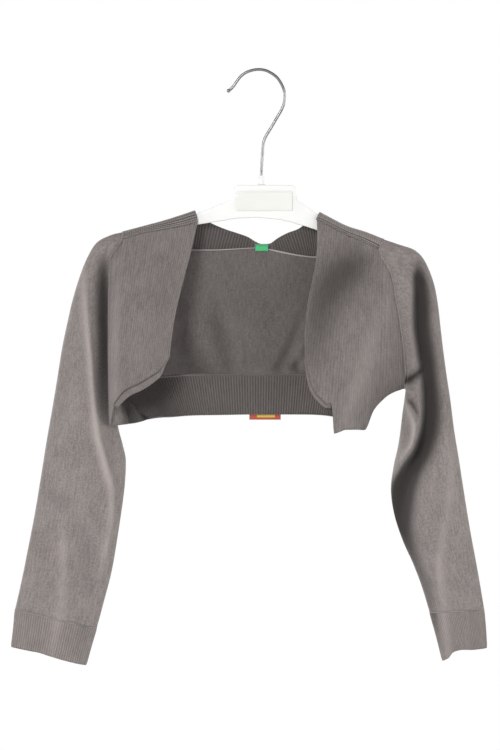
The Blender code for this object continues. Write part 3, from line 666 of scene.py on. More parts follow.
@dataclass(frozen=True)
class KnitFinish(Finish):
    """Fine marled knit: its colours, the size of a stitch, and how deep it shows.

    Attributes:
        shade: the share of its colour that painted shade leaves in the deepest fold.
        painted_crest_light: how many times lighter a painted highlight makes it on a crest.
    """

    structure: Knit = Knit.PLAIN
    dark: Colour = (0.2, 0.18, 0.17)
    light: Colour = (0.3, 0.27, 0.26)
    furrow: float = 0.3
    stitch_wide: float = 1.2
    stitch_high: float = 1.0
    depth: float = 0.25
    shade: float = 0.4
    painted_crest_light: float = 1.45

    def make(self) -> bpy.types.Material:
        """Make the knit's material.

        Returns:
            A marled yarn with rows of V-shaped stitches that follow the piece's pattern coordinates.
        """
        kit = Shader(self.name)
        across, down = kit.pattern()
        wales = across / self.stitch_wide if self.structure is Knit.PLAIN else across
        off = abs(wales.part() - 0.5)
        row = (down / self.stitch_high + off * 1.3).part()
        loop = (row * 0.5).wave() * (1 - (off * 2) ** 4)
        fuzz = kit.noise(0.5, 3.0)
        marl = kit.noise(1.6, 4.0)
        cloud = kit.noise(22.0, 2.0)
        place = kit.node("ShaderNodeCombineXYZ", {}, wales * 0.8, down / 11.0)
        streak = kit.node("ShaderNodeTexNoise", {}, place, Scale=1.0, Detail=3.0)
        tone = 0.25 * fuzz.between(0.32, 0.68) + 0.3 * marl.between(0.35, 0.65) + 0.15 * cloud.between(0.3, 0.7)
        tone = tone + 0.3 * streak.between(0.3, 0.7)
        # Painted shade: the tone is darker between the stitches' loops and, in rib, in the furrows between the ribs.
        tone = tone * 0.82 + loop * 0.18
        if self.structure is Knit.RIB:
            crest = 0.5 - 0.5 * (wales + 0.25).wave()
            tone = tone * (1 - self.furrow) + crest * self.furrow
        height = loop * 0.7 + fuzz * 0.3
        # Painted highlight and painted shade: where Hollow is below 0, on a crest, the yarn blends towards a lighter
        # colour; where it is above 0, in a fold, towards a dark shade.
        hollow = kit.node("ShaderNodeAttribute", {"attribute_name": "Hollow"}, output=2)
        yarn = kit.blend(tone, self.dark, self.light)
        painted_crest_light = tuple(self.painted_crest_light * part for part in self.light)
        yarn = kit.blend((0.0 - hollow).between(0.0, 1.0) * 0.7, yarn, painted_crest_light)
        shade = tuple(self.shade * part for part in self.dark)
        kit.set(
            Base_Color=kit.blend(hollow.between(0.0, 1.0), yarn, shade),
            Roughness=0.85 + 0.12 * marl,
            Normal=kit.bump(height, self.depth, 0.6),
            Sheen_Weight=0.35,
            Sheen_Roughness=0.45,
            Sheen_Tint=(0.95, 0.92, 0.9, 1.0),
            Specular_IOR_Level=0.2,
        )
        return kit.material


@dataclass(frozen=True)
class PlasticFinish(Finish):
    """Moulded plastic: its colour, its gloss and the grain of its mould."""

    colour: Colour = (0.86, 0.86, 0.84)
    roughness: float = 0.35

    def make(self) -> bpy.types.Material:
        """Make the plastic's material."""
        kit = Shader(self.name)
        cloud = kit.noise(18.0, 2.0)
        grain = kit.noise(0.6, 2.0)
        darker = tuple(0.96 * part for part in self.colour)
        kit.set(
            Base_Color=kit.blend(cloud, darker, self.colour),
            Roughness=self.roughness + 0.1 * cloud,
            Normal=kit.bump(grain, 0.02, 0.4),
            Coat_Weight=0.15,
        )
        return kit.material


@dataclass(frozen=True)
class SteelFinish(Finish):
    """Drawn bright wire."""

    colour: Colour = (0.3, 0.3, 0.305)

    def make(self) -> bpy.types.Material:
        """Make the wire's material, with the faint lines of its drawing."""
        kit = Shader(self.name)
        lines = kit.noise(0.9, 2.0)
        cloud = kit.noise(9.0, 2.0)
        darker = tuple(0.85 * part for part in self.colour)
        kit.set(
            Base_Color=kit.blend(cloud, darker, self.colour),
            Metallic=1.0,
            Roughness=0.3 + 0.08 * lines,
            Normal=kit.bump(lines, 0.004, 0.2),
        )
        return kit.material


@dataclass(frozen=True)
class WovenFinish(Finish):
    """A woven label: its ground, and a bar across it in another colour."""

    ground: Colour = (0.05, 0.5, 0.2)
    bar: Colour = (0.05, 0.5, 0.2)
    bar_from: tuple[float, float] = (0.0, 0.0)
    bar_to: tuple[float, float] = (0.0, 0.0)

    def make(self) -> bpy.types.Material:
        """Make the label's material: a fine weave, and its bar by the pattern's millimetres."""
        kit = Shader(self.name)
        across, down = kit.pattern()
        weft = (down / 0.35).wave()
        warp = (across / 0.35).wave()
        weave = 0.5 + 0.25 * (weft + warp)
        inside = (
            across.between(self.bar_from[0] - 0.2, self.bar_from[0] + 0.2)
            * (1 - across.between(self.bar_to[0] - 0.2, self.bar_to[0] + 0.2))
            * down.between(self.bar_from[1] - 0.2, self.bar_from[1] + 0.2)
            * (1 - down.between(self.bar_to[1] - 0.2, self.bar_to[1] + 0.2))
        )
        colour = kit.blend(inside, self.ground, self.bar)
        shade = kit.blend(weave, (0.75, 0.75, 0.75), (1.0, 1.0, 1.0))
        made = kit.tree.nodes.new("ShaderNodeMix")
        made.data_type = "RGBA"
        made.blend_type = "MULTIPLY"
        for socket, value in zip((made.inputs[0], made.inputs[6], made.inputs[7]), (1.0, colour, shade)):
            kit.feed(socket, value)
        kit.set(
            Base_Color=Value(kit, made.outputs[2]),
            Roughness=0.6 + 0.2 * weave,
            Normal=kit.bump(weave, 0.06, 0.5),
            Sheen_Weight=0.3,
        )
        return kit.material


@dataclass
class Sleeve:
    """A long sleeve: rings that fan from the armhole, round the underarm, down to the cuff."""

    side: Side
    rings: Sequence[Ring]
    armhole: Sequence[Armhole]
    folds: Folds
    back_folds: Folds
    finish: Finish
    columns: int = 132
    rows: int = 170
    squareness: float = 0.8
    back_out: float = 3.5
    length: float = 375.0
    full_hollow: float = 19.0
    hollow: np.ndarray | None = None

    def turns(self, columns: int) -> np.ndarray:
        """The turns that lie evenly along the cloth.

        Args:
            columns: how many go round the sleeve.

        Returns:
            Their angles, from the outer silhouette before the arm to the inner one and back behind it.
        """
        ring = self.rings[len(self.rings) // 2]
        across = math.dist((ring.outer_x, ring.outer_z), (ring.inner_x, ring.inner_z)) / 2
        turns = []
        for depth, start in ((ring.front, 0.0), (ring.back, math.pi)):
            turn = np.linspace(0, math.pi, 721)
            flat = np.stack([across * np.cos(turn), depth * np.sin(turn) ** self.squareness])
            length = np.concatenate([[0.0], np.cumsum(np.linalg.norm(np.diff(flat, axis=1), axis=0))])
            even = np.linspace(0, length[-1], columns // 2, endpoint=False)
            turns.append(start + np.interp(even, length, turn))
        return np.concatenate(turns)

    def surface(self, columns: int, rows: int) -> np.ndarray:
        """The outer points of the sleeve.

        Args:
            columns: how many go round it.
            rows: how many rings it has.

        Returns:
            A closed grid from the armhole to the cuff, with its folds.
        """
        line = rows_of(self.rings, rows)
        turn = self.turns(columns)
        cos, sin = np.cos(turn)[:, None], np.sin(turn)[:, None]
        x = line.outer_x * (1 + cos) / 2 + line.inner_x * (1 - cos) / 2
        z = line.outer_z * (1 + cos) / 2 + line.inner_z * (1 - cos) / 2
        round_off = np.sign(sin) * np.abs(sin) ** self.squareness
        y = np.where(sin > 0, -line.front * round_off, -line.back * round_off)
        way = (1 - cos) / 2
        before = curve_through([row.way for row in self.armhole], [row.out for row in self.armhole], way)
        x = x + self.side.out * line.armhole * np.where(sin > 0, before, self.back_out * np.abs(sin))
        grid = np.stack([x, y, z], axis=-1)
        settled = np.clip(np.linspace(0, 6, rows), 0, 1)
        swell = unevenness(grid, 34.0, 0.5, 1.3 + self.side.out) * settled
        before, behind = np.clip(round_off, 0, 1), np.clip(-round_off, 0, 1)
        rise = fold_rise(grid, self.folds)
        # The same depth sets the painted shade of troughs and the painted highlight of crests, before the arm.
        self.hollow = hollow_of(rise, self.full_hollow) * (sin > -0.02)
        grid[..., 1] -= (rise + swell) * before
        grid[..., 1] += (fold_rise(grid, self.back_folds) + swell) * behind
        return grid

    def armhole_at(self, heights: np.ndarray, face: int) -> tuple[np.ndarray, np.ndarray]:
        """Where the sleeve's first ring passes some heights.

        Args:
            heights: the heights in Z.
            face: -1 before the arm, 1 behind it.

        Returns:
            The seam's X and Y there.
        """
        ring = self.surface(self.columns, self.rows)[:, 0]
        half = ring[ring[:, 1] * face > -0.01]
        half = half[np.argsort(half[:, 2])]
        depth = np.maximum(np.abs(np.interp(heights, half[:, 2], half[:, 1])), UNDERARM_DEPTH)
        return np.interp(heights, half[:, 2], half[:, 0]), depth * face

    def build(self) -> np.ndarray:
        """Build the sleeve and its armhole seam.

        Returns:
            The sleeve's outer grid.
        """
        grid = self.surface(self.columns, self.rows)
        across = run_along(grid[:, self.rows // 2])
        down = np.linspace(0, self.length, self.rows)
        cloth = Cloth(
            f"dressed_sleeve_{self.side.word}", grid, across, down, self.side.out,
            closed=True, hollow=self.hollow, set_in=True,
        )
        cloth.dress(self.finish, f"sleeve_{self.side.word}", flat=(0.17, 0.375), area=0.055)
        ring = grid[:, 0].copy()
        ring[:, 0] -= self.side.out * ARMHOLE_GAP * 0.5
        ring[:, 1] -= 0.5 * np.clip(-ring[:, 1] / 6, 0, 1)
        thread(f"armhole_seam_{self.side.word}", ring, 0.75, closed=True).dress(self.finish)
        return grid


@dataclass
class Cuff:
    """A rib cuff: a short tube whose lower edge lifts a little between its corners."""

    side: Side
    rings: Sequence[Ring]
    finish: Finish
    lift: Sequence[Armhole]
    folds: Folds
    height: float = 0.4
    rows: int = 26
    squareness: float = 0.8
    length: float = 33.0

    def build(self) -> None:
        """Build the cuff and the seam that joins it to its sleeve."""
        even = Sleeve(self.side, self.rings, (), {}, {}, self.finish, squareness=self.squareness)
        columns = CUFF_RIBS * RIB_STEPS
        turn = even.turns(columns)
        line = rows_of(self.rings, self.rows)
        cos, sin = np.cos(turn)[:, None], np.sin(turn)[:, None]
        way = (1 - cos) / 2
        x = line.outer_x * (1 - way) + line.inner_x * way
        z = line.outer_z * (1 - way) + line.inner_z * way
        lifted = curve_through([row.way for row in self.lift], [row.out for row in self.lift], way)
        z = z + lifted * np.linspace(0, 1, self.rows) ** 1.5
        round_off = np.sign(sin) * np.abs(sin) ** self.squareness
        y = np.where(sin > 0, -line.front * round_off, -line.back * round_off)
        grid = np.stack([x, y, z], axis=-1)
        rise = fold_rise(grid, self.folds)
        grid[..., 1] -= rise * np.clip(round_off, 0, 1)
        ribs = np.arange(columns) / RIB_STEPS
        relief = np.outer(rib_profile(ribs), fading_ends(self.rows, 0.3)) * self.height
        down = np.linspace(0, self.length, self.rows)
        # Its folds also give it painted shade in troughs and painted highlight on crests, before the arm.
        cloth = Cloth(
            f"dressed_cuff_{self.side.word}", grid, ribs, down, self.side.out, closed=True,
            thickness=RIB_WALL, relief=relief, inner_relief=relief * 0.8,
            hollow=hollow_of(rise, 8.0, 6.0) * (sin > -0.02),
        )
        cloth.dress(self.finish, f"cuff_{self.side.word}", flat=(0.155, 0.033))
        seam = grid[::4, 0].copy()
        seam[:, 2] += SEAM_GAP * 0.7
        seam[:, :2] += (seam[:, :2].mean(axis=0) - seam[:, :2]) * 0.012
        thread(f"cuff_seam_{self.side.word}", seam, 0.75, closed=True).dress(self.finish)


@dataclass
class FrontPanel:
    """A rib front, from its shoulder and armhole down to the cut-away hem.

    Attributes:
        turned: the ribs between which the inner edge turns in and is darkened by painted shade; past the last rib it
            doesn't.
        trim_cut: the trim's cut over the mean width that shows. It is assumed, not measured.
        full_hollow: how deep a fold is, in millimetres, where its painted shade is full.
        hollow: how far each point lies in a fold, from -1 on a crest to 1; it sets painted highlight and painted
            shade.
    """

    side: Side
    wales: Sequence[Wale]
    trim: Sequence[Trim]
    folds: Folds
    finish: Finish
    trim_finish: Finish
    leaning_rows: float = 0.1
    rows: int = 84
    height: float = 0.25
    turned: tuple[float, float] = (98.0, 99.0)
    seam_lean: float = 2.5
    trim_roll: tuple[float, float, float] = (0.7, 1.0, 0.8)
    trim_cut: float = 1.6
    full_hollow: float = 13.0
    hollow: np.ndarray | None = None

    def surface(self, sleeve: Sleeve, steps: int) -> tuple[np.ndarray, np.ndarray]:
        """The outer points of the front.

        Args:
            sleeve: the sleeve whose armhole it meets.
            steps: how many columns a rib has.

        Returns:
            The grid, and how far its wall leans towards the viewer.
        """
        count = round(steps * self.wales[-1].ribs)
        line = columns_of(self.wales, [wale.ribs for wale in self.wales], np.arange(count + 1) / steps)
        v = np.linspace(0, 1, self.rows)
        seam_x, seam_y = sleeve.armhole_at(line.top_z, -1)
        top_x = line.top_x + (seam_x - self.side.out * ARMHOLE_GAP - line.top_x) * line.seam
        top_y = line.top_y + (seam_y - line.top_y) * line.seam
        off_line = np.outer(line.bow, np.sin(math.pi * v)) + np.outer(line.sway, np.sin(2 * math.pi * v))
        x = np.outer(top_x, 1 - v) + np.outer(line.low_x, v) + off_line
        z = np.outer(line.top_z, 1 - v) + np.outer(line.low_z, v)
        stations = (0, 1 / 3, 2 / 3, 1)
        depths = zip(top_y, line.upper_y, line.lower_y, line.low_y)
        y = np.array([curve_through(stations, depth, v) for depth in depths])
        grid = np.stack([x, y, z], axis=-1)
        inside = np.minimum(1, np.minimum(v, 1 - v) * 10)
        rise = fold_rise(grid, self.folds)
        # Painted shade in the folds and on the turned-in inner edge, painted highlight on the crests.
        first, last = self.turned
        inside_out = np.clip((np.arange(count + 1) / steps - first) / (last - first), 0, 1)
        shaded = np.where(inside_out > 0, 0.85 * inside_out, -1)[:, None]
        self.hollow = np.maximum(hollow_of(rise, self.full_hollow, 14.0), shaded)
        grid[..., 1] -= rise * np.minimum(1, v * 12) + unevenness(grid, 40.0, 0.45, 2.0 + self.side.out) * inside
        return grid, self.seam_lean * np.outer(line.seam, v < self.leaning_rows)

    def build(self, sleeve: Sleeve) -> np.ndarray:
        """Build the front and the binding of its cut-away edge.

        Args:
            sleeve: the sleeve whose armhole it meets.

        Returns:
            The front's outer grid.
        """
        grid, lean = self.surface(sleeve, RIB_STEPS)
        ribs = np.arange(len(grid)) / RIB_STEPS
        relief = np.outer(rib_profile(ribs), fading_ends(self.rows, 0.2)) * self.height
        down = np.concatenate(
            [np.zeros((len(grid), 1)), np.cumsum(np.linalg.norm(np.diff(grid, axis=1), axis=-1), axis=1)], axis=1
        )
        cloth = Cloth(
            f"dressed_front_{self.side.word}", grid, ribs, down, -self.side.out,
            thickness=RIB_WALL, relief=relief, inner_relief=relief * 0.8, lean=lean, hollow=self.hollow,
        )
        width = self.wales[-1].ribs * FRONT_PITCH * MM
        cloth.dress(self.finish, f"front_{self.side.word}", flat=(width, 0.19), area=width * 0.19 * 0.8)
        self.bind(grid)
        return grid

    def bind(self, grid: np.ndarray) -> None:
        """Bind the cut-away edge: a narrow fold of knit with a stitched groove along it."""
        seam = grid[: round(RIB_STEPS * self.trim[-1].ribs) + 1 : 3, -1]
        line = columns_of(self.trim, [row.ribs for row in self.trim], np.arange(len(seam)) * 3 / RIB_STEPS)
        way = np.gradient(seam[:, [0, 2]], axis=0)
        away = np.stack([way[:, 1], -way[:, 0]], axis=-1) * self.side.out
        away /= np.linalg.norm(away, axis=-1, keepdims=True)
        shares = np.linspace(0, 1, 13)
        roll = curve_through((0, 0.5, 1), self.trim_roll, shares)
        rows = []
        for share, forward in zip(shares, roll):
            reach = (SEAM_GAP * 0.5 + share * line.width)[:, None] * away
            groove = 0.5 * math.exp(-(((share - 0.1) / 0.08) ** 2)) + 0.7 * share**6
            y = seam[:, 1] - forward * line.curl + groove * np.clip(line.width / 4, 0, 1)
            rows.append(np.stack([seam[:, 0] + reach[:, 0], y, seam[:, 2] + reach[:, 1]], axis=-1))
        surface = np.stack(rows, axis=1)
        length = run_along(seam)
        # Painted shade along the stitched groove.
        groove_shade = np.outer(np.clip(line.width / 5, 0, 1), 0.8 * np.exp(-(((shares - 0.08) / 0.1) ** 2)))
        cloth = Cloth(
            f"dressed_trim_{self.side.word}", surface, length / 1.9, shares * 6.0, -self.side.out,
            relief=np.outer(rib_profile(length / 1.9), np.ones(13)) * 0.12, hollow=groove_shade,
        )
        cut = self.trim_cut * float(np.mean(line.width)) * MM
        flat = (length[-1] * MM, max(0.0105, 1.1 * cut))
        cloth.dress(self.trim_finish, f"front_trim_{self.side.word}", flat=flat, area=length[-1] * MM * cut)


@dataclass
class ShoulderStrip:
    """The rib strip over a shoulder, with furrows along it and its welted front seam."""

    side: Side
    sections: Sequence[Strip]
    furrows: Sequence[tuple[float, float]]
    finish: Finish
    steps: Sequence[Step]
    cross_ribs: float = 0.09
    depth: float = 8.5
    back_drop: float = 8.0
    columns: int = 110
    rows: int = 150

    def build(self) -> np.ndarray:
        """Build the strip.

        Returns:
            Its outer grid, from its back edge over the ridge to the front seam.
        """
        places = along(self.sections, ("ridge", "seam"))
        line = columns_of(self.sections, places, np.linspace(0, places[-1], self.columns))
        step = rows_of(self.steps, self.rows)
        drop = np.where(step.depth > 0, self.back_drop, (line.ridge_z - line.seam_z - SEAM_GAP)[:, None])
        x = line.ridge_x[:, None] + (line.seam_x - line.ridge_x)[:, None] * step.way
        y = np.broadcast_to(self.depth * step.depth - step.welt, x.shape)
        z = line.ridge_z[:, None] - drop * step.drop
        grid = np.stack([x, y, z], axis=-1)
        place = np.linspace(0, 1, self.rows)
        furrow = sum(depth * np.exp(-(((place - at) / 0.019) ** 2)) for at, depth in self.furrows)
        across = places[-1] * np.linspace(0, 1, self.columns) / 2.1
        relief = np.outer(rib_profile(across), self.cross_ribs * np.ones(self.rows)) - furrow
        girth = run_along(grid[0])
        # The furrows are sunk and also darkened with painted shade.
        cloth = Cloth(
            f"dressed_shoulder_strip_{self.side.word}", grid, across, girth, -self.side.out,
            relief=relief, hollow=furrow,
        )
        length = places[-1] * MM
        cloth.dress(self.finish, f"shoulder_strip_{self.side.word}", flat=(length, 0.036))
        seam = grid[1:-1, -1] + [0, 1.0, -0.15]
        thread(f"shoulder_seam_{self.side.word}", seam, 0.7, flatten=0.8).dress(self.finish)
        return grid


@dataclass
class RibBand:
    """A rib band along an edge: the hem's or the neck's.

    Attributes:
        dim: how far painted shade darkens its shaded end.
        dim_to: the X, in millimetres, below which the painted shade begins.
    """

    name: str
    node: str
    ribs: Sequence[BandRib]
    pitch: float
    rows: int
    flat_length: float
    finish: Finish
    area: float = 0.0
    height: float = 0.45
    dim_to: float = -38.0
    dim: float = 0.0

    def surface(self, steps: int, rows: int) -> np.ndarray:
        """The outer points of the band.

        Args:
            steps: how many columns a rib has.
            rows: how many points a rib line has.

        Returns:
            The grid, from the band's top edge to its low edge.
        """
        places = along(self.ribs, ("top", "low"))
        count = steps * round(places[-1] / self.pitch) + 1
        line = columns_of(self.ribs, places, np.linspace(0, places[-1], count))
        v = np.linspace(0, 1, rows)
        arch = 4 * v * (1 - v)
        x = np.outer(line.top_x, 1 - v) + np.outer(line.low_x, v) + np.outer(line.bow_x, arch)
        y = np.outer(line.top_y, 1 - v) + np.outer(line.low_y, v)
        z = np.outer(line.top_z, 1 - v) + np.outer(line.low_z, v) + np.outer(line.bow_z, arch)
        return np.stack([x, y, z], axis=-1)

    def build(self) -> np.ndarray:
        """Build the band.

        Returns:
            Its outer grid.
        """
        grid = self.surface(RIB_STEPS, self.rows)
        grid[..., 1] += unevenness(grid, 45.0, 0.5, 4.1)
        ribs = np.arange(len(grid)) / RIB_STEPS
        relief = np.outer(rib_profile(ribs), fading_ends(self.rows, 0.3)) * self.height
        down = np.linspace(0, 35.0, self.rows)
        # Painted shade darkens the band towards its shaded end.
        cloth = Cloth(
            self.name, grid, ribs, down, 1, thickness=RIB_WALL, relief=relief, inner_relief=relief,
            hollow=np.clip((self.dim_to - grid[..., 0]) / 50, 0, 1) * self.dim,
        )
        width = len(grid) / RIB_STEPS * self.pitch * MM
        cloth.dress(self.finish, self.node, flat=(width, self.flat_length), area=self.area)
        return grid


@dataclass
class BackPanel:
    """The plain back, between the sleeves, the shoulders, the neck band and the hem band."""

    sections: Sequence[BackSection]
    folds: Folds
    finish: Finish
    top: tuple[float, float] = (-135.0, 9.0)
    neck: tuple[float, float] = (-162.0, 9.6)
    middle: float = -212.0
    hem_gap: float = 0.5
    column: float = 1.8
    rows: int = 110

    def build(self, sleeves: dict[Side, Sleeve], hem: np.ndarray, neck: np.ndarray) -> np.ndarray:
        """Build the back.

        Args:
            sleeves: the sleeves whose armholes it meets.
            hem: the hem band's outer grid.
            neck: the neck band's outer grid.

        Returns:
            The back's outer grid.
        """
        places = along(self.sections, ("top",))
        spans = [
            np.linspace(a, b, max(1, round((b - a) / self.column)), endpoint=False) for a, b in zip(places, places[1:])
        ]
        line = columns_of(self.sections, places, np.concatenate(spans + [places[-1:]]))
        in_neck = (line.top_x > neck[0, -1, 0]) & (line.top_x < neck[-1, -1, 0])
        neck_z = np.interp(line.top_x, neck[:, -1, 0], neck[:, -1, 2]) - SEAM_GAP
        top_z = np.where(in_neck, neck_z, line.top_z)
        low_z = np.interp(line.low_x, hem[:, 0, 0], hem[:, 0, 2]) + self.hem_gap
        low_y = np.interp(line.low_x, hem[:, 0, 0], hem[:, 0, 1])
        middle_y = np.maximum(line.middle_y, low_y + 0.05)
        v = np.linspace(0, 1, self.rows)
        x = np.outer(line.top_x, 1 - v) + np.outer(line.low_x, v)
        z = np.outer(top_z, 1 - v) + np.outer(low_z, v)
        y = np.empty(z.shape)
        for k in range(len(z)):
            heights = (low_z[k], self.middle, self.neck[0], self.top[0])
            depths = (low_y[k], middle_y[k], self.neck[1], self.top[1])
            y[k] = curve_through(heights, depths, np.minimum(z[k], self.top[0]))
        grid = np.stack([x, y, z], axis=-1)
        from_side = np.minimum(*self.columns_in(len(z)))
        settled = np.minimum(1, np.minimum(v, 1 - v) * 8) * np.minimum(1, from_side / 8)[:, None]
        rise = fold_rise(grid, self.folds)
        grid[..., 1] -= rise * np.minimum(1, (1 - v) * 11) + unevenness(grid, 38.0, 0.6, 0.7) * settled
        for side, edge in ((Side.LEFT, 0), (Side.RIGHT, -1)):
            seam_x, seam_y = sleeves[side].armhole_at(grid[edge, :, 2], 1)
            grid[edge, :, 0] = seam_x - side.out * ARMHOLE_GAP
            grid[edge, :, 1] = seam_y
        across = run_along(grid[:, self.rows // 2])
        # The folds' depth sets painted shade in troughs and painted highlight on crests.
        cloth = Cloth("dressed_back", grid, across, np.linspace(0, 140.0, self.rows), 1, hollow=hollow_of(rise, 12.0))
        cloth.dress(self.finish, "back", flat=(0.27, 0.14), area=0.033)
        return grid

    @staticmethod
    def columns_in(count: int) -> tuple[np.ndarray, np.ndarray]:
        """How many columns lie before and after each one."""
        return np.arange(count), np.arange(count)[::-1]


@dataclass
class WovenLabel:
    """A woven label that hangs along a line in Y and Z."""

    name: str
    node: str
    across: tuple[float, float]
    line: Sequence[tuple[float, float]]
    finish: Finish

    def build(self) -> None:
        """Build the label."""
        places = run_along(np.array(self.line))
        down = np.linspace(0, places[-1], 24)
        y, z = (curve_through(places, column, down) for column in zip(*self.line))
        across = np.linspace(*self.across, 30)
        grid = np.stack(np.broadcast_arrays(across[:, None], y[None, :], z[None, :]), axis=-1)
        grid[..., 1] += 0.15 * np.sin(np.linspace(0, 2.6, 30))[:, None]
        cloth = Cloth(self.name, grid, across - self.across[0], down, 1, thickness=0.7)
        cloth.dress(self.finish, self.node)


FRONT_LEFT = (
    Wale(0, -55.5, -136.0, -80.0, -256.5, -8.5, -19, -24, -24, -2.0, 0.9, 0),
    Wale(4.5, -65.5, -139.2, -89.0, -269.0, -8.5, -22, -27, -26, -1.6, 0.7, 0),
    Wale(9.5, -76.5, -141.4, -98.5, -275.5, -8.5, -24, -29, -28, -0.8, 0.3, 0),
    Wale(14.5, -88.0, -143.5, -108.5, -281.5, -8.5, -25, -30, -29, 0.0, 0.0, 0),
    Wale(19.5, -100.0, -145.4, -119.0, -286.5, -8.5, -25.5, -30.5, -30, 0.0, 0.0, 0),
    Wale(24, -110.5, -148.0, -126.5, -294.5, -8.5, -24.5, -28.5, -29, -1.0, 0.0, 0),
    Wale(27.5, -118.5, -150.6, -131.5, -304.5, -8.5, -22, -25, -26.5, -2.0, 0.0, 0),
    Wale(29.5, -123.5, -154.0, -133.8, -316.0, -8.0, -19, -22.5, -23, -2.0, 0.0, 1),
    Wale(31.5, -133.0, -173.0, -134.3, -318.5, -10.5, -17, -20.5, -21, -1.0, 0.0, 1),
    Wale(33, -132.0, -206.0, -133.2, -318.5, -13, -15.5, -18, -18.5, 0.0, 0.0, 1),
    Wale(35, -131.5, -246.5, -129.5, -318.5, -11.8, -13.5, -15.5, -17, 0.0, 0.0, 1),
    Wale(38.5, -130.5, -280.0, -121.8, -318.0, -5, -8.5, -12, -14, 0.0, 0.0, 1),
    Wale(43.5, -117.0, -298.0, -110.7, -316.5, -4, -6, -7, -8, 0.0, 0.0, 0),
    Wale(48, -100.0, -311.0, -99.3, -313.5, -1.5, -1.5, -1.5, -1.5, 0.0, 0.0, 0),
)
FRONT_RIGHT = (
    Wale(0, 52.5, -135.0, 41.0, -258.0, -8.5, -19, -24, -24, 0.0, 2.3, 0),
    Wale(4.5, 62.0, -139.4, 48.0, -284.8, -8.5, -23, -28, -27, 0.0, 1.2, 0),
    Wale(9.5, 73.0, -145.2, 60.4, -299.8, -8.5, -25, -30, -29, 0.0, 0.4, 0),
    Wale(11.5, 77.5, -147.5, 65.5, -304.5, -8.5, -25.5, -30, -30, 0.0, 0.0, 0),
    Wale(12.5, 79.6, -148.6, 67.2, -326.0, -8.5, -26.3, -30.2, -31, 0.0, 0.0, 0),
    Wale(17, 88.0, -152.0, 78.5, -322.5, -8.5, -25.6, -30, -29, 0.0, 0.0, 0),
    Wale(21.5, 97.0, -155.7, 88.0, -322.5, -8.5, -24, -28, -22, 0.0, 0.0, 0),
    Wale(25, 103.5, -159.2, 95.0, -323.0, -8.5, -23, -26, -10, 0.0, 0.0, 0),
    Wale(28.5, 108.4, -163.6, 103.5, -305.0, -9.5, -22, -24, -6, 0.0, 0.0, 1),
    Wale(32, 117.0, -180.0, 113.5, -294.0, -14.6, -20.5, -18.5, -4, 0.0, 0.0, 1),
    Wale(36, 123.5, -209.0, 122.5, -288.5, -17.8, -18.4, -15, -3, 0.0, 0.0, 1),
    Wale(39, 128.5, -246.5, 128.5, -286.4, -16.3, -14.6, -11.5, -2, 0.0, 0.0, 1),
    Wale(41, 131.3, -270.0, 130.9, -284.8, -12, -10.3, -7.8, -1.5, 0.0, 0.0, 1),
)
TRIM_LEFT = (
    Trim(0, 0.4, 0.2), Trim(2.5, 1.4, 0.3), Trim(6, 5.0, 0.4), Trim(9.5, 6.2, 0.5), Trim(14.5, 6.6, 0.6),
    Trim(23, 6.0, 0.6), Trim(26.5, 4.4, 0.5),
)
TRIM_RIGHT = (
    Trim(0, 0.6, 0.2), Trim(4.5, 3.0, 0.3), Trim(7, 3.4, 0.4), Trim(9.5, 3.4, 0.4), Trim(11, 3.0, 0.3),
)
STRIP_LEFT = (
    Strip(-58.0, -125.5, -55.5, -135.5),
    Strip(-70.0, -129.6, -67.5, -138.7),
    Strip(-89.0, -135.5, -88.0, -142.6),
    Strip(-104.0, -139.5, -103.5, -145.4),
    Strip(-122.0, -144.3, -122.2, -150.8),
)
STRIP_RIGHT = (
    Strip(55.0, -127.0, 51.5, -134.3),
    Strip(62.5, -131.0, 60.5, -137.9),
    Strip(79.5, -139.5, 78.5, -147.1),
    Strip(96.5, -145.0, 95.0, -153.9),
    Strip(111.4, -150.9, 109.4, -161.4),
)
STRIP_PROFILE = (
    Step(1.0, 1.0, 0.0, 0.0),
    Step(0.97, 0.55, 0.0, 0.0),
    Step(0.78, 0.18, 0.0, 0.0),
    Step(0.42, 0.03, 0.0, 0.0),
    Step(0.0, 0.0, 0.0, 0.0),
    Step(-0.42, 0.05, 0.1, 0.0),
    Step(-0.76, 0.22, 0.3, 0.0),
    Step(-0.95, 0.52, 0.6, 0.5),
    Step(-1.0, 0.8, 0.84, 0.5),
    Step(-1.0, 1.0, 1.0, 0.0),
)
ARMHOLE_LEFT = (
    Armhole(0.0, 0.0), Armhole(0.04, 0.3), Armhole(0.15, 9.2), Armhole(0.21, 11.1),
    Armhole(0.43, 6.6), Armhole(0.71, 3.6), Armhole(1.0, 0.0),
)
ARMHOLE_RIGHT = (
    Armhole(0.0, 0.0), Armhole(0.07, -4.5), Armhole(0.12, -3.6), Armhole(0.2, 1.3),
    Armhole(0.38, 3.0), Armhole(0.56, 4.0), Armhole(0.73, 3.8), Armhole(0.89, 2.6), Armhole(1.0, 0.0),
)
SLEEVE_LEFT = (
    Ring(-122.5, -145.0, -131.5, -288.0, 13, 17, 1.0),
    Ring(-134.0, -148.0, -131.8, -290.0, 16, 18, 0.6),
    Ring(-146.5, -155.0, -131.8, -292.5, 19, 19, 0.25),
    Ring(-155.5, -170.0, -131.5, -295.5, 21, 20, 0.05),
    Ring(-162.0, -187.0, -131.3, -299.0, 22, 20, 0.0),
    Ring(-168.0, -207.0, -130.8, -303.5, 22, 20, 0.0),
    Ring(-173.0, -229.0, -129.5, -309.5, 22, 20, 0.0),
    Ring(-177.5, -251.0, -127.5, -317.0, 22, 20, 0.0),
    Ring(-181.5, -276.5, -125.5, -326.0, 22, 20, 0.0),
    Ring(-186.0, -303.5, -122.5, -337.0, 21, 19, 0.0),
    Ring(-191.0, -332.0, -119.8, -352.0, 21, 19, 0.0),
    Ring(-196.0, -363.5, -121.0, -375.0, 20, 18, 0.0),
    Ring(-202.0, -399.5, -125.5, -408.0, 19, 17, 0.0),
    Ring(-209.0, -435.5, -132.0, -447.5, 17, 15, 0.0),
    Ring(-214.5, -462.5, -138.5, -473.5, 16, 14, 0.0),
    Ring(-219.5, -484.5, -146.0, -501.5, 15, 13, 0.0),
)
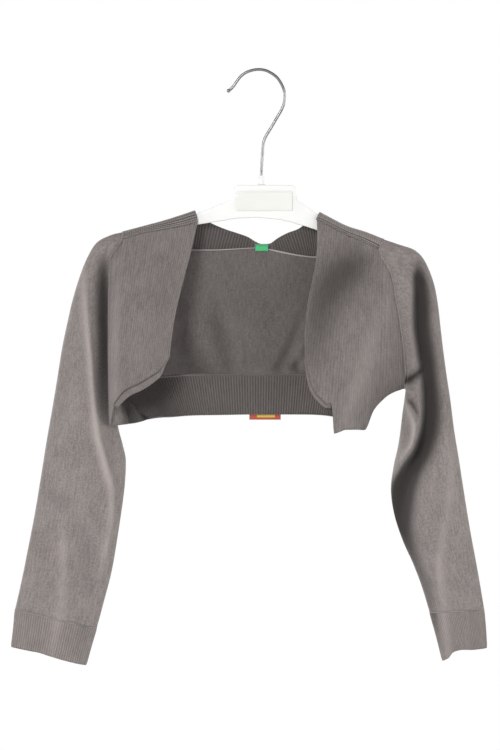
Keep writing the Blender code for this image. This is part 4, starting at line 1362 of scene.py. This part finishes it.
SLEEVE_RIGHT = (
    Ring(112.0, -151.5, 131.5, -285.5, 18, 17, 1.0),
    Ring(126.0, -156.2, 131.8, -287.5, 19.5, 18, 0.75),
    Ring(140.4, -161.5, 131.6, -290.0, 21, 19, 0.4),
    Ring(149.7, -172.0, 131.2, -293.0, 22, 20, 0.15),
    Ring(157.3, -191.0, 130.7, -297.0, 22, 20, 0.0),
    Ring(161.0, -210.0, 130.0, -302.0, 22, 20, 0.0),
    Ring(163.2, -229.0, 129.0, -309.0, 22, 20, 0.0),
    Ring(165.8, -251.0, 128.0, -317.5, 22, 20, 0.0),
    Ring(168.8, -273.5, 126.7, -328.0, 22, 20, 0.0),
    Ring(172.2, -296.0, 124.7, -340.0, 21, 19, 0.0),
    Ring(175.6, -323.0, 121.3, -355.0, 21, 19, 0.0),
    Ring(180.0, -350.0, 118.7, -376.0, 20, 18, 0.0),
    Ring(184.6, -380.0, 121.8, -399.5, 19, 17, 0.0),
    Ring(190.0, -413.0, 129.5, -423.0, 18, 16, 0.0),
    Ring(195.4, -442.0, 138.5, -443.0, 17, 15, 0.0),
    Ring(199.2, -463.5, 146.5, -464.0, 16, 14, 0.0),
    Ring(202.7, -484.5, 153.5, -487.0, 15, 13, 0.0),
)
CUFF_LEFT = (
    Ring(-219.6, -484.9, -146.1, -501.9, 15, 13, 0.0),
    Ring(-221.0, -501.5, -150.5, -516.5, 14, 13, 0.0),
    Ring(-223.0, -518.0, -155.5, -534.5, 13, 12, 0.0),
)
CUFF_RIGHT = (
    Ring(202.5, -484.9, 153.6, -487.4, 15, 13, 0.0),
    Ring(204.0, -501.5, 159.5, -508.5, 14, 13, 0.0),
    Ring(205.0, -519.0, 165.0, -530.5, 13, 12, 0.0),
)
HEM_BAND = (
    BandRib(-130.3, -290.5, -99.0, -313.5, 1.0, 1.0, 0, 0),
    BandRib(-117.5, -283.0, -90.5, -312.2, 8, 8, 0, 0),
    BandRib(-98.0, -277.2, -80.0, -311.5, 13, 13, 0, 0),
    BandRib(-71.0, -274.5, -62.0, -310.0, 16, 15, 0, 0),
    BandRib(-39.5, -273.7, -36.0, -309.5, 18, 16, 0, 0),
    BandRib(-1.0, -273.7, -1.0, -309.0, 18, 16, 0, 0),
    BandRib(37.0, -273.7, 34.0, -309.0, 17, 15, 0, 0),
    BandRib(73.0, -274.7, 64.0, -310.5, 14, 12, 0, 0),
    BandRib(104.5, -278.5, 81.0, -316.0, 9, 7, -1.5, 1.5),
    BandRib(130.4, -286.2, 94.4, -322.6, 1.6, 1.0, -5.5, 6.5),
)
NECK_BAND = (
    BandRib(-56.8, -128.5, -60.3, -161.2, 10.8, 10.9, 0, 0),
    BandRib(-51.5, -132.5, -55.5, -161.2, 11, 10.9, 0, 0),
    BandRib(-41.5, -138.0, -46.0, -161.2, 12, 10.9, 0, 0),
    BandRib(-29.5, -143.0, -34.0, -161.0, 14.5, 10.9, 0, 0),
    BandRib(-19.0, -146.5, -22.5, -160.4, 17, 10.9, 0, 0),
    BandRib(-10.0, -150.0, -11.5, -159.8, 19.5, 10.9, 0, 0),
    BandRib(-4.0, -154.0, -4.0, -159.4, 21, 10.9, 0, 0),
    BandRib(2.5, -156.5, 2.5, -159.8, 21.5, 10.9, 0, 0),
    BandRib(10.0, -156.0, 10.0, -160.8, 20.5, 10.9, 0, 0),
    BandRib(17.0, -151.0, 20.0, -162.8, 18, 10.9, 0, 0),
    BandRib(26.0, -146.0, 32.5, -165.3, 15, 10.9, 0, 0),
    BandRib(37.0, -141.5, 43.0, -166.9, 12.5, 10.9, 0, 0),
    BandRib(44.5, -135.0, 49.5, -167.5, 11.5, 10.9, 0, 0),
    BandRib(53.0, -129.5, 55.0, -167.5, 10.8, 10.9, 0, 0),
)
BACK = (
    BackSection(-123.0, -153.5, -131.0, 17),
    BackSection(-115.0, -151.2, -119.5, 17.5),
    BackSection(-107.0, -149.0, -109.0, 18),
    BackSection(-80.0, -141.5, -84.0, 17),
    BackSection(-62.5, -135.2, -74.0, 16.5),
    BackSection(-62.2, -149.0, -68.0, 16.5),
    BackSection(-61.4, -161.8, -62.0, 16.5),
    BackSection(-30.5, -161.5, -30.5, 17),
    BackSection(-2.0, -160.0, -2.0, 17),
    BackSection(23.5, -164.0, 23.5, 17),
    BackSection(56.2, -168.2, 55.0, 16.5),
    BackSection(56.6, -153.0, 62.0, 16.5),
    BackSection(57.2, -137.5, 68.0, 16.5),
    BackSection(82.0, -149.5, 84.0, 17),
    BackSection(100.0, -155.0, 101.5, 18),
    BackSection(111.5, -160.4, 130.3, 17),
)
NECK_LABEL = (-3.2, 8.1)
NECK_LABEL_LINE = ((12.0, -156.6), (9.2, -157.0), (7.7, -158.6), (7.7, -161.8))
HEM_LABEL = (-8.5, 19.4)
HEM_LABEL_LINE = ((18.0, -304.0), (17.8, -313.8))
FURROWS_LEFT = ((0.63, 0.8), (0.735, 0.9), (0.83, 0.9), (0.93, 0.9))
FURROWS_RIGHT = ((0.85, 0.9), (0.96, 0.7))
CUFF_LIFT_LEFT = (
    Armhole(0.0, 0.0), Armhole(0.25, 0.8), Armhole(0.38, 1.3), Armhole(0.5, 0.6), Armhole(0.85, -0.3),
    Armhole(1.0, 0.0),
)
CUFF_LIFT_RIGHT = (
    Armhole(0.0, 0.0), Armhole(0.3, 2.2), Armhole(0.65, 5.6), Armhole(0.78, 5.0), Armhole(0.88, 1.2),
    Armhole(1.0, 0.0),
)


FOLDS_FRONT_LEFT = {
    "sweep": (Crease(-74, -160, 16, 10, -1.0), Crease(-84, -200, 16, 12, -3.0), Crease(-100, -262, 12, 10, 0)),
    "edge": (Crease(-126, -165, 6, 6, 1.5), Crease(-129, -240, 6, 6, 5.5), Crease(-129, -308, 6, 6, 4.5)),
    "inner pleat": (Crease(-122, -300, 2, 2, 0), Crease(-119, -309, 2, 2.5, -2.0), Crease(-117, -318, 2, 2.5, -1.5)),
    "inner turn": (Crease(-110, -296, 5, 6, -5), Crease(-105, -306, 5, 6, -8), Crease(-103, -316, 5, 6, -8)),
}
FOLDS_FRONT_RIGHT = {
    "hollow": (
        Crease(106, -163, 14, 10, -1.5), Crease(90, -172, 24, 18, -7.0), Crease(70, -187, 24, 24, -9.0),
        Crease(56, -212, 20, 24, -8.0), Crease(48, -250, 14, 20, -5.5), Crease(44, -288, 11, 14, -2.0),
    ),
    "lap": (
        Crease(118, -185, 9, 10, 1.0), Crease(109, -218, 12, 11, 4.0), Crease(99, -248, 11, 11, 5.0),
        Crease(86, -288, 9, 11, 5.0), Crease(73, -322, 6, 10, 4.0),
    ),
}
FOLDS_SLEEVE_LEFT = {
    "hollow": (
        Crease(-139, -156, 5, 4, 0), Crease(-139.5, -180, 7, 6, -11), Crease(-138, -235, 7, 8, -14),
        Crease(-137, -285, 7, 8, -12), Crease(-134, -318, 6, 5, -6), Crease(-131, -345, 5, 5, 0),
    ),
    "ridge": (
        Crease(-155.7, -168, 5, 4, 1.0), Crease(-157, -188, 5, 4, 3.5), Crease(-154.5, -225, 5, 3.5, 4.5),
        Crease(-152, -250, 4.5, 3.5, 5.0), Crease(-148.5, -290, 4.5, 3.5, 5.5), Crease(-145.3, -324, 5, 3.5, 6.0),
        Crease(-136.8, -357.5, 5.5, 3.5, 6.0), Crease(-131.5, -380, 5, 3.5, 5.0), Crease(-133, -408.5, 5, 3.5, 4.2),
        Crease(-140, -441, 5, 4, 3.2), Crease(-147.5, -470, 6, 5, 1.0),
    ),
    "inner": (
        Crease(-141, -322, 4, 6, 0), Crease(-131, -350, 4, 6, -3.5), Crease(-126.5, -385, 4, 5, -2.5),
        Crease(-131, -425, 4, 5, -2.0), Crease(-140, -465, 4, 5, 0),
    ),
    "light": (Crease(-178, -385, 8, 7, 0), Crease(-175, -430, 7, 6, 3.0), Crease(-178, -495, 7, 6, 3.0)),
    "soft": (Crease(-160, -400, 9, 9, 0), Crease(-155, -440, 9, 8, -3.6), Crease(-152, -485, 8, 8, -2.6)),
    "outer": (
        Crease(-168, -225, 6, 7, 0), Crease(-174, -270, 7, 8, -2.5), Crease(-180, -310, 7, 8, -3.0),
        Crease(-185, -370, 7, 8, -2.0), Crease(-190, -420, 6, 8, -1.5), Crease(-200, -470, 6, 8, -2.0),
    ),
    "elbow": (Crease(-180, -357, 2, 3, 0), Crease(-160, -362, 2, 3, -1.6), Crease(-143, -367, 2, 3, 0)),
}
FOLDS_SLEEVE_RIGHT = {
    "valley": (
        Crease(143, -164, 4, 6, 0), Crease(142.6, -190, 4.5, 10, -15), Crease(142.5, -225, 4.5, 12, -18),
        Crease(145.3, -250, 4.5, 12, -18), Crease(149.8, -281, 4.5, 12, -17), Crease(150.5, -300, 4.5, 13, -17),
        Crease(149.5, -319, 4.5, 13, -18), Crease(143.5, -340, 4.5, 12, -19), Crease(135.5, -357, 7, 12, -20),
        Crease(129, -376, 11, 12, -21), Crease(127, -398, 11, 12, -18), Crease(132, -420, 9, 10, -12),
        Crease(142, -445, 7, 8, -8), Crease(150, -466, 6, 8, -6.5), Crease(156, -486, 5, 7, -5),
    ),
    "underarm": (
        Crease(129, -289, 2.5, 2, 1.0), Crease(131.5, -298, 2, 2, 4.0), Crease(137, -312.5, 2.5, 2.5, 5.5),
        Crease(139, -320, 3, 2.5, 6.0), Crease(137, -335, 3, 2.5, 5.5), Crease(128, -350, 3.5, 2.5, 4.5),
        Crease(120, -368, 4, 3, 1.0),
    ),
    "cap": (Crease(135, -183, 3, 3, 0), Crease(142, -188, 3, 4, -2.5), Crease(150, -194, 3, 4, 0)),
    "corner": (Crease(129.5, -281, 3, 3.5, -8), Crease(136, -277.5, 3.5, 4.5, -13), Crease(143, -272, 3, 4, -9)),
    "crown": (Crease(122, -160, 8, 9, 0), Crease(132, -172, 9, 10, -2.5), Crease(136, -200, 7, 8, 0)),
    "pinch": (Crease(129, -286.5, 1.8, 1.8, 2), Crease(136, -289, 1.8, 2, 4), Crease(141, -292, 2, 2, 0)),
    "tuck": (Crease(133, -293, 2, 2.5, -1), Crease(138, -300, 2.2, 2.5, -7), Crease(142.5, -311, 2, 2.5, -3)),
    "inside": (Crease(127.5, -296, 2, 2.5, -2), Crease(129, -312, 2.5, 3, -4), Crease(127, -332, 3, 3, 0)),
    "outer": (
        Crease(163, -305, 4, 5, 0), Crease(170, -335, 5, 6, 2), Crease(171, -380, 6, 7, 2.5),
        Crease(163, -425, 5, 7, 3.0), Crease(161, -445, 4.5, 7, 4), Crease(164, -490, 3.5, 7, 4),
    ),
}
FOLDS_CUFF_LEFT = {
    "soft": (Crease(-152, -482, 8, 8, -2.6), Crease(-163, -522, 8, 8, -1.6)),
    "light": (Crease(-178, -480, 7, 6, 3.0), Crease(-186, -522, 7, 7, 1.5)),
}
FOLDS_CUFF_RIGHT = {
    "outer": (Crease(163.5, -482, 3.5, 7, 4.0), Crease(169, -525, 3.5, 6, 3.0)),
    "valley": (
        Crease(153, -477, 5.5, 7.5, -5.5), Crease(156, -486, 5, 7, -5), Crease(161, -505, 4, 6, -3),
        Crease(165, -530, 3, 5, -1),
    ),
    "side": (Crease(192, -482, 7, 8, -1.5), Crease(196, -525, 7, 8, -1.5)),
}
FOLDS_SLEEVE_LEFT_BACK = {
    "elbow": (Crease(-170, -300, 8, 10, 0), Crease(-160, -345, 8, 10, -5), Crease(-150, -395, 9, 9, 0)),
    "arm": (Crease(-150, -200, 6, 9, 0), Crease(-160, -260, 7, 9, 3), Crease(-172, -320, 8, 9, 0)),
    "pinch": (Crease(-139, -175, 5, 6, 0), Crease(-141, -230, 6, 7, -9), Crease(-139, -290, 6, 6, 0)),
}
FOLDS_SLEEVE_RIGHT_BACK = {
    "elbow": (Crease(158, -310, 9, 8, 0), Crease(150, -350, 9, 8, -5.5), Crease(140, -390, 9, 9, 0)),
    "arm": (Crease(146, -205, 8, 7, 0), Crease(154, -265, 8, 7, 3.2), Crease(164, -330, 9, 8, 0)),
    "pinch": (Crease(139, -180, 6, 5, 0), Crease(142, -235, 7, 6, -8), Crease(141, -285, 6, 6, 0)),
}
FOLDS_BACK = {
    "centre": (Crease(-11.5, -236, 3, 3, 0), Crease(-11.5, -258, 3, 3, -2.2), Crease(-11.5, -272, 3, 3, -1.5)),
    "left": (Crease(-50, -195, 7, 8, 0), Crease(-38, -232, 8, 8, -4.5), Crease(-27, -268, 7, 7, -3)),
    "slope": (Crease(-48, -180, 10, 10, 0), Crease(-27, -225, 9, 8, 2), Crease(-15, -262, 6, 6, 1)),
    "right": (Crease(44, -205, 5, 6, 0), Crease(30, -245, 6, 6, -3.5), Crease(17, -268, 5, 5, -4.5)),
    "lower left": (
        Crease(-74, -205, 8, 9, 0), Crease(-68, -240, 12, 15, -4.5), Crease(-58, -272, 14, 20, -6.5),
    ),
    "nook": (Crease(38, -255, 4, 4, 0), Crease(33, -267, 5, 4, -6), Crease(36, -272, 5, 4, -4)),
    "lap": (Crease(46, -225, 6, 6, 0), Crease(36, -252, 5, 5, 2.5), Crease(24, -272, 4, 5, 2)),
}


class Beam(NamedTuple):
    """A section of the hanger along its length: its top, its underside and half its thickness."""

    x: float
    top: float
    low: float
    half: float


HANGER = (
    Beam(-118.5, -150.0, -154.5, 2.5),
    Beam(-115.5, -148.0, -157.0, 4.6),
    Beam(-102.5, -143.6, -156.0, 5.6),
    Beam(-89.0, -139.8, -152.0, 5.8),
    Beam(-71.0, -134.2, -145.0, 5.8),
    Beam(-56.0, -128.4, -138.5, 5.6),
    Beam(-44.0, -124.0, -136.5, 5.2),
    Beam(-33.5, -119.5, -135.0, 5.0),
    Beam(-23.0, -115.5, -133.0, 5.0),
    Beam(-22.2, -105.0, -132.9, 5.0),
    Beam(-20.0, -103.0, -132.6, 5.0),
    Beam(-2.0, -103.0, -131.8, 5.0),
    Beam(19.0, -103.0, -133.8, 5.0),
    Beam(30.5, -103.0, -136.5, 5.0),
    Beam(33.0, -105.0, -137.4, 5.0),
    Beam(34.0, -116.0, -137.8, 5.0),
    Beam(43.0, -122.0, -140.2, 5.2),
    Beam(53.0, -129.4, -143.6, 5.6),
    Beam(79.5, -142.6, -154.0, 5.8),
    Beam(96.5, -148.4, -160.0, 5.6),
    Beam(103.5, -151.6, -161.5, 4.6),
    Beam(106.0, -154.0, -160.0, 2.5),
)
HOOK = (
    (-29.0, -18.7), (-26.6, -17.4), (-23.6, -14.6), (-20.2, -9.8), (-16.0, -4.6), (-12.1, -1.7),
    (-7.7, 0.1), (-0.5, 1.3), (6.3, 0.3), (11.5, -2.3), (16.6, -6.4), (20.2, -11.8), (22.6, -17.6),
    (23.0, -23.5), (22.5, -29.0), (20.5, -34.4), (16.2, -42.0), (9.9, -52.7), (5.2, -60.8),
    (3.8, -65.3), (3.3, -71.2), (2.7, -80.2), (2.3, -87.4), (2.0, -94.2),
)


def only(thing: bpy.types.Object) -> None:
    """Select one object alone and make it active."""
    bpy.ops.object.select_all(action="DESELECT")
    thing.select_set(True)
    bpy.context.view_layer.objects.active = thing


def pick(thing: bpy.types.Object, faces: Callable[[bmesh.types.BMFace], bool]) -> int:
    """Select the faces of the object in edit mode that pass a test.

    Args:
        thing: the object in edit mode.
        faces: the test.

    Returns:
        How many passed.
    """
    bpy.ops.mesh.select_all(action="DESELECT")
    bpy.ops.mesh.select_mode(type="FACE")
    work = bmesh.from_edit_mesh(thing.data)
    found = [face for face in work.faces if faces(face)]
    for face in found:
        face.select_set(True)
    bmesh.update_edit_mesh(thing.data)
    return len(found)


def applied(thing: bpy.types.Object, kind: str, name: str, **settings: object) -> None:
    """Add a modifier with its settings and apply it."""
    only(thing)
    modifier = thing.modifiers.new(name, kind)
    for key, value in settings.items():
        setattr(modifier, key, value)
    bpy.ops.object.modifier_apply(modifier=modifier.name)


def finished(thing: bpy.types.Object, name: str, finish: Finish, *nodes: str, angle: float = 35.0) -> None:
    """Put a modelled piece's place into its mesh, shade it, and dress it in place of its solid."""
    only(thing)
    bpy.ops.object.transform_apply(location=True, rotation=True, scale=True)
    bpy.ops.object.shade_smooth_by_angle(angle=math.radians(angle))
    thing.name = thing.data.name = name
    finish.put_on(thing)
    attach(thing, BODY)
    if nodes:
        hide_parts(*nodes)
    log.info("%s: %d faces", name, len(thing.data.polygons))


@dataclass
class Hanger:
    """The moulded hanger: its bar, its bare plate, its socket and its wire hook."""

    beams: Sequence[Beam]
    wire: Sequence[tuple[float, float]]
    plastic: Finish
    pale_plastic: Finish
    steel: Finish
    wire_radius: float = 1.3
    ball_radius: float = 1.75
    plate: tuple[float, float, float] = (50.0, 1.2, 17.0)
    plate_centre: tuple[float, float] = (5.0, -117.5)
    middle_half: float = 5.0

    def build(self) -> None:
        """Build all its pieces."""
        self.build_bar()
        self.build_plate()
        self.build_socket()
        self.build_hook()

    def build_bar(self) -> None:
        """Draw the bar out of a cube, section by section, and round its edges."""
        first = self.beams[0]
        step = 0.6
        middle = ((first.x + step / 2) * MM, 0, (first.top + first.low) / 2 * MM)
        bpy.ops.mesh.primitive_cube_add(size=1, location=middle)
        bar = bpy.context.object
        bar.scale = (step * MM, 2 * first.half * MM, (first.top - first.low) * MM)
        bpy.ops.object.transform_apply(location=True, rotation=True, scale=True)
        bpy.ops.object.mode_set(mode="EDIT")
        end = first.x + step
        last = first
        for beam in self.beams[1:]:
            pick(bar, lambda face: face.calc_center_median().x > (end - 0.02) * MM)
            middle, new_middle = (last.top + last.low) / 2, (beam.top + beam.low) / 2
            move = Vector((beam.x - end, 0, new_middle - middle)) * MM
            bpy.ops.mesh.extrude_region_move(TRANSFORM_OT_translate={"value": move})
            bpy.ops.transform.resize(
                value=(1, beam.half / last.half, (beam.top - beam.low) / (last.top - last.low)),
                center_override=(beam.x * MM, 0, new_middle * MM),
            )
            end, last = beam.x, beam
        bpy.ops.object.mode_set(mode="OBJECT")
        applied(bar, "BEVEL", "rounded edges", width=2.2 * MM, segments=5, angle_limit=math.radians(50))
        finished(bar, "dressed_hanger", self.plastic, "hanger")

    def build_plate(self) -> None:
        """Inset a bare plate and round it."""
        width, depth, height = self.plate
        front = -self.middle_half - SEAM_GAP - depth / 2
        x, z = self.plate_centre
        bpy.ops.mesh.primitive_cube_add(size=1, location=(x * MM, front * MM, z * MM))
        plate = bpy.context.object
        plate.scale = (width * MM, depth * MM, height * MM)
        bpy.ops.object.transform_apply(location=True, rotation=True, scale=True)
        bpy.ops.object.mode_set(mode="EDIT")
        pick(plate, lambda face: face.normal.y < -0.5)
        bpy.ops.mesh.inset(thickness=1.4 * MM, depth=0)
        bpy.ops.mesh.inset(thickness=0.3 * MM, depth=-0.3 * MM)
        bpy.ops.object.mode_set(mode="OBJECT")
        applied(plate, "BEVEL", "soft edges", width=0.25 * MM, segments=3, angle_limit=math.radians(40))
        finished(plate, "dressed_hanger_plate", self.pale_plastic, "hanger_plate")

    def build_socket(self) -> None:
        """Turn the little collar that takes the hook."""
        x = self.wire[-1][0]
        middle = (x * MM, 0, -98.7 * MM)
        bpy.ops.mesh.primitive_cylinder_add(vertices=40, radius=3.5 * MM, depth=7.6 * MM, location=middle)
        socket = bpy.context.object
        bpy.ops.object.transform_apply(location=True, rotation=True, scale=True)
        bpy.ops.object.mode_set(mode="EDIT")
        pick(socket, lambda face: face.normal.z > 0.9)
        bpy.ops.transform.resize(value=(0.72, 0.72, 1), center_override=(x * MM, 0, -94.9 * MM))
        bpy.ops.mesh.inset(thickness=0.5 * MM, depth=-0.6 * MM)
        bpy.ops.object.mode_set(mode="OBJECT")
        applied(socket, "BEVEL", "soft edges", width=0.35 * MM, segments=3, angle_limit=math.radians(40))
        finished(socket, "dressed_hanger_socket", self.plastic, "hanger_socket")

    def build_hook(self) -> None:
        """Bend the wire through its points and give its end a small ball."""
        lengths = run_along(np.array(self.wire))
        places = np.linspace(0, lengths[-1], 160)
        x, z = (curve_through(lengths, column, places) for column in zip(*self.wire))
        bpy.ops.curve.primitive_bezier_curve_add(radius=0.01, location=(0, 0, 0))
        hook = bpy.context.object
        wire = hook.data
        wire.splines.clear()
        line = wire.splines.new("POLY")
        line.points.add(len(places) - 1)
        for k, point in enumerate(line.points):
            point.co = (x[k] * MM, 0, z[k] * MM, 1)
            round_end = math.sqrt(max(0.05, 1 - (1 - places[k] / self.ball_radius) ** 2))
            ball = self.ball_radius / self.wire_radius * round_end
            point.radius = ball if places[k] < 2 * self.ball_radius * 0.86 else 1.0
        wire.bevel_depth = self.wire_radius * MM
        wire.bevel_resolution = 6
        wire.use_fill_caps = True
        only(hook)
        bpy.ops.object.convert(target="MESH")
        hook = bpy.context.object
        bpy.ops.object.mode_set(mode="EDIT")
        bpy.ops.mesh.select_all(action="SELECT")
        bpy.ops.mesh.remove_doubles(threshold=0.00001)
        bpy.ops.mesh.normals_make_consistent(inside=False)
        bpy.ops.object.mode_set(mode="OBJECT")
        finished(hook, "dressed_hook", self.steel, "hook", angle=60.0)


@dataclass
class Studio:
    """A pale floor, soft light all round and a level camera far in front of the garment."""

    centre: tuple[float, float] = (-8.1, -273.7)
    distance: float = 6.0
    view_height: float = 0.675
    floor_z: float = -1.35
    ambient: float = 0.35

    def build(self) -> None:
        """Set the floor, the lights, the world and the camera."""
        bpy.ops.mesh.primitive_plane_add(size=14, location=(0, 0, self.floor_z))
        floor = bpy.context.object
        floor.name = "floor"
        kit = Shader("pale floor")
        kit.set(Base_Color=kit.blend(kit.noise(400.0, 2.0), (0.88, 0.88, 0.88), (0.92, 0.92, 0.92)), Roughness=0.8)
        floor.data.materials.append(kit.material)
        world = bpy.data.worlds.new("studio")
        world.use_nodes = True
        backdrop = world.node_tree.nodes["Background"]
        backdrop.inputs["Color"].default_value = (1.0, 1.0, 1.0, 1.0)
        ambient = world.node_tree.nodes.new("ShaderNodeBackground")
        ambient.inputs["Strength"].default_value = self.ambient
        seen = world.node_tree.nodes.new("ShaderNodeLightPath")
        mix = world.node_tree.nodes.new("ShaderNodeMixShader")
        sources = (seen.outputs["Is Camera Ray"], ambient.outputs[0], backdrop.outputs[0])
        for source, socket in zip(sources, mix.inputs):
            world.node_tree.links.new(source, socket)
        world.node_tree.links.new(mix.outputs[0], world.node_tree.nodes["World Output"].inputs["Surface"])
        bpy.context.scene.world = world
        bpy.context.scene.view_settings.view_transform = "Standard"
        self.light("key", (-1.2, -3.2, 0.8), 0.9, 62.0)
        self.light("fill", (2.4, -2.2, 0.0), 1.2, 18.0)
        self.light("left side", (-3.1, -0.9, 0.0), 1.2, 30.0)
        self.light("right side", (3.1, -0.9, -0.2), 1.2, 30.0)
        self.light("left behind", (-1.8, 2.6, 0.4), 1.4, 34.0)
        self.light("right behind", (1.8, 2.6, 0.4), 1.4, 30.0)
        self.add_camera()

    def light(self, name: str, place: tuple[float, float, float], size: float, watts: float) -> None:
        """Add a square soft light that faces the garment."""
        bpy.ops.object.light_add(type="AREA", location=place)
        lamp = bpy.context.object
        lamp.name = name
        lamp.data.size = size
        lamp.data.energy = watts
        aim = Vector((0, 0, self.centre[1] * MM)) - Vector(place)
        lamp.rotation_euler = aim.to_track_quat("-Z", "Y").to_euler()

    def add_camera(self) -> None:
        """Put the camera level in front of the middle of the picture."""
        x, z = self.centre
        bpy.ops.object.camera_add(location=(x * MM, -self.distance, z * MM), rotation=(math.pi / 2, 0, 0))
        camera = bpy.context.object
        camera.data.sensor_width = 36.0
        camera.data.lens = 36.0 * self.distance / self.view_height
        camera.data.clip_end = 100.0
        bpy.context.scene.camera = camera


PLAIN_KNIT = KnitFinish("taupe plain knit", "taupe_knit", dark=(0.12, 0.106, 0.101), light=(0.36, 0.318, 0.303))
FRONT_RIB = KnitFinish(
    "taupe front rib", "taupe_rib", Knit.RIB, dark=(0.1, 0.0882, 0.0842), light=(0.275, 0.243, 0.232), furrow=0.15,
    stitch_high=1.1,
)
TRIM_RIB = KnitFinish(
    "taupe trim rib", "taupe_rib", Knit.RIB, dark=(0.115, 0.101, 0.0968), light=(0.255, 0.225, 0.215), furrow=0.3,
    stitch_high=1.1,
)
# A lighter copy of the taupe rib; on the shoulder strips this lightness is painted light.
CUFF_RIB = KnitFinish(
    "taupe cuff rib", "taupe_rib", Knit.RIB, dark=(0.13, 0.115, 0.109), light=(0.335, 0.295, 0.282), furrow=0.4,
    stitch_high=1.1,
)
# The taupe rib made much darker than FRONT_RIB: painted shade for the bands inside the garment's back.
SHADED_BAND_RIB = KnitFinish(
    "taupe band rib", "taupe_rib", Knit.RIB, dark=(0.057, 0.0503, 0.048), light=(0.186, 0.164, 0.157), furrow=0.55,
    stitch_high=1.2,
)
# The taupe knit made darker than PLAIN_KNIT: painted shade for the inside of the garment.
SHADED_BACK_KNIT = KnitFinish("taupe back knit", "taupe_knit", dark=(0.088, 0.0776, 0.0741), light=(0.203, 0.179, 0.171))
WHITE_PLASTIC = PlasticFinish("white plastic", "white_plastic")
PALE_PLASTIC = PlasticFinish("pale plastic", "white_plastic", colour=(0.8, 0.8, 0.76), roughness=0.45)
BRIGHT_STEEL = SteelFinish("bright steel", "bright_steel")
GREEN_WEAVE = WovenFinish("green weave", "green_label", ground=(0.055, 0.56, 0.2), bar=(0.055, 0.56, 0.2))
RED_WEAVE = WovenFinish(
    "red weave", "red_label", ground=(0.58, 0.09, 0.045), bar=(0.75, 0.55, 0.09),
    bar_from=(6.7, 5.0), bar_to=(22.9, 8.0),
)


def main() -> None:
    """Dress the cardigan, piece by piece, and set the studio."""
    logging.basicConfig(level=logging.INFO, format="%(name)s: %(message)s")
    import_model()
    sleeves = {
        Side.LEFT: Sleeve(Side.LEFT, SLEEVE_LEFT, ARMHOLE_LEFT, FOLDS_SLEEVE_LEFT, FOLDS_SLEEVE_LEFT_BACK, PLAIN_KNIT),
        Side.RIGHT: Sleeve(
            Side.RIGHT, SLEEVE_RIGHT, ARMHOLE_RIGHT, FOLDS_SLEEVE_RIGHT, FOLDS_SLEEVE_RIGHT_BACK, PLAIN_KNIT,
            full_hollow=14.0,
        ),
    }
    for sleeve in sleeves.values():
        sleeve.build()
    Cuff(Side.LEFT, CUFF_LEFT, CUFF_RIB, CUFF_LIFT_LEFT, FOLDS_CUFF_LEFT).build()
    Cuff(Side.RIGHT, CUFF_RIGHT, CUFF_RIB, CUFF_LIFT_RIGHT, FOLDS_CUFF_RIGHT).build()
    left = FrontPanel(
        Side.LEFT, FRONT_LEFT, TRIM_LEFT, FOLDS_FRONT_LEFT, FRONT_RIB, TRIM_RIB, turned=(35.5, 41.0)
    )
    right = FrontPanel(
        Side.RIGHT, FRONT_RIGHT, TRIM_RIGHT, FOLDS_FRONT_RIGHT, FRONT_RIB, TRIM_RIB, leaning_rows=2.0
    )
    for front in (left, right):
        front.build(sleeves[front.side])
    # The strips wear the lighter cuff rib as painted light.
    ShoulderStrip(Side.LEFT, STRIP_LEFT, FURROWS_LEFT, CUFF_RIB, STRIP_PROFILE).build()
    ShoulderStrip(Side.RIGHT, STRIP_RIGHT, FURROWS_RIGHT, CUFF_RIB, STRIP_PROFILE).build()
    hem = RibBand("dressed_hem_band", "hem_band", HEM_BAND, HEM_PITCH, 22, 0.036, SHADED_BAND_RIB, dim=0.6).build()
    neck = RibBand(
        "dressed_neck_band", "neck_band", NECK_BAND, NECK_PITCH, 26, 0.033, SHADED_BAND_RIB, area=0.003, dim_to=110, dim=0.32
    ).build()
    BackPanel(BACK, FOLDS_BACK, SHADED_BACK_KNIT).build(sleeves, hem, neck)
    seam = (hem[::5, 0] + [0, -1.3, 0.25])[4:-4]
    thread("hem_seam", seam, 0.8, flatten=0.7).dress(SHADED_BACK_KNIT)
    seam = neck[::4, -1] + [0, -1.9, -0.1]
    seam = np.concatenate([seam[:1] - [2.2, -0.3, 0], seam[:-2]])
    collar_seam = thread("neck_seam", seam, 0.75, flatten=0.8)
    # Painted highlight along the neck seam, as on a lit crest.
    collar_seam.hollow = np.full(1, -0.9)
    collar_seam.dress(PLAIN_KNIT)
    for side, edge in ((Side.LEFT, 0), (Side.RIGHT, -1)):
        seam = neck[edge, 6:] + [side.out * 0.9, -0.8, 0]
        thread(f"neck_end_seam_{side.word}", seam, 1.0).dress(SHADED_BAND_RIB)
    WovenLabel("dressed_neck_label", "neck_label", NECK_LABEL, NECK_LABEL_LINE, GREEN_WEAVE).build()
    WovenLabel("dressed_hem_label", "hem_label", HEM_LABEL, HEM_LABEL_LINE, RED_WEAVE).build()
    Hanger(HANGER, HOOK, WHITE_PLASTIC, PALE_PLASTIC, BRIGHT_STEEL).build()
    Studio().build()


if __name__ == "__main__":
    main()
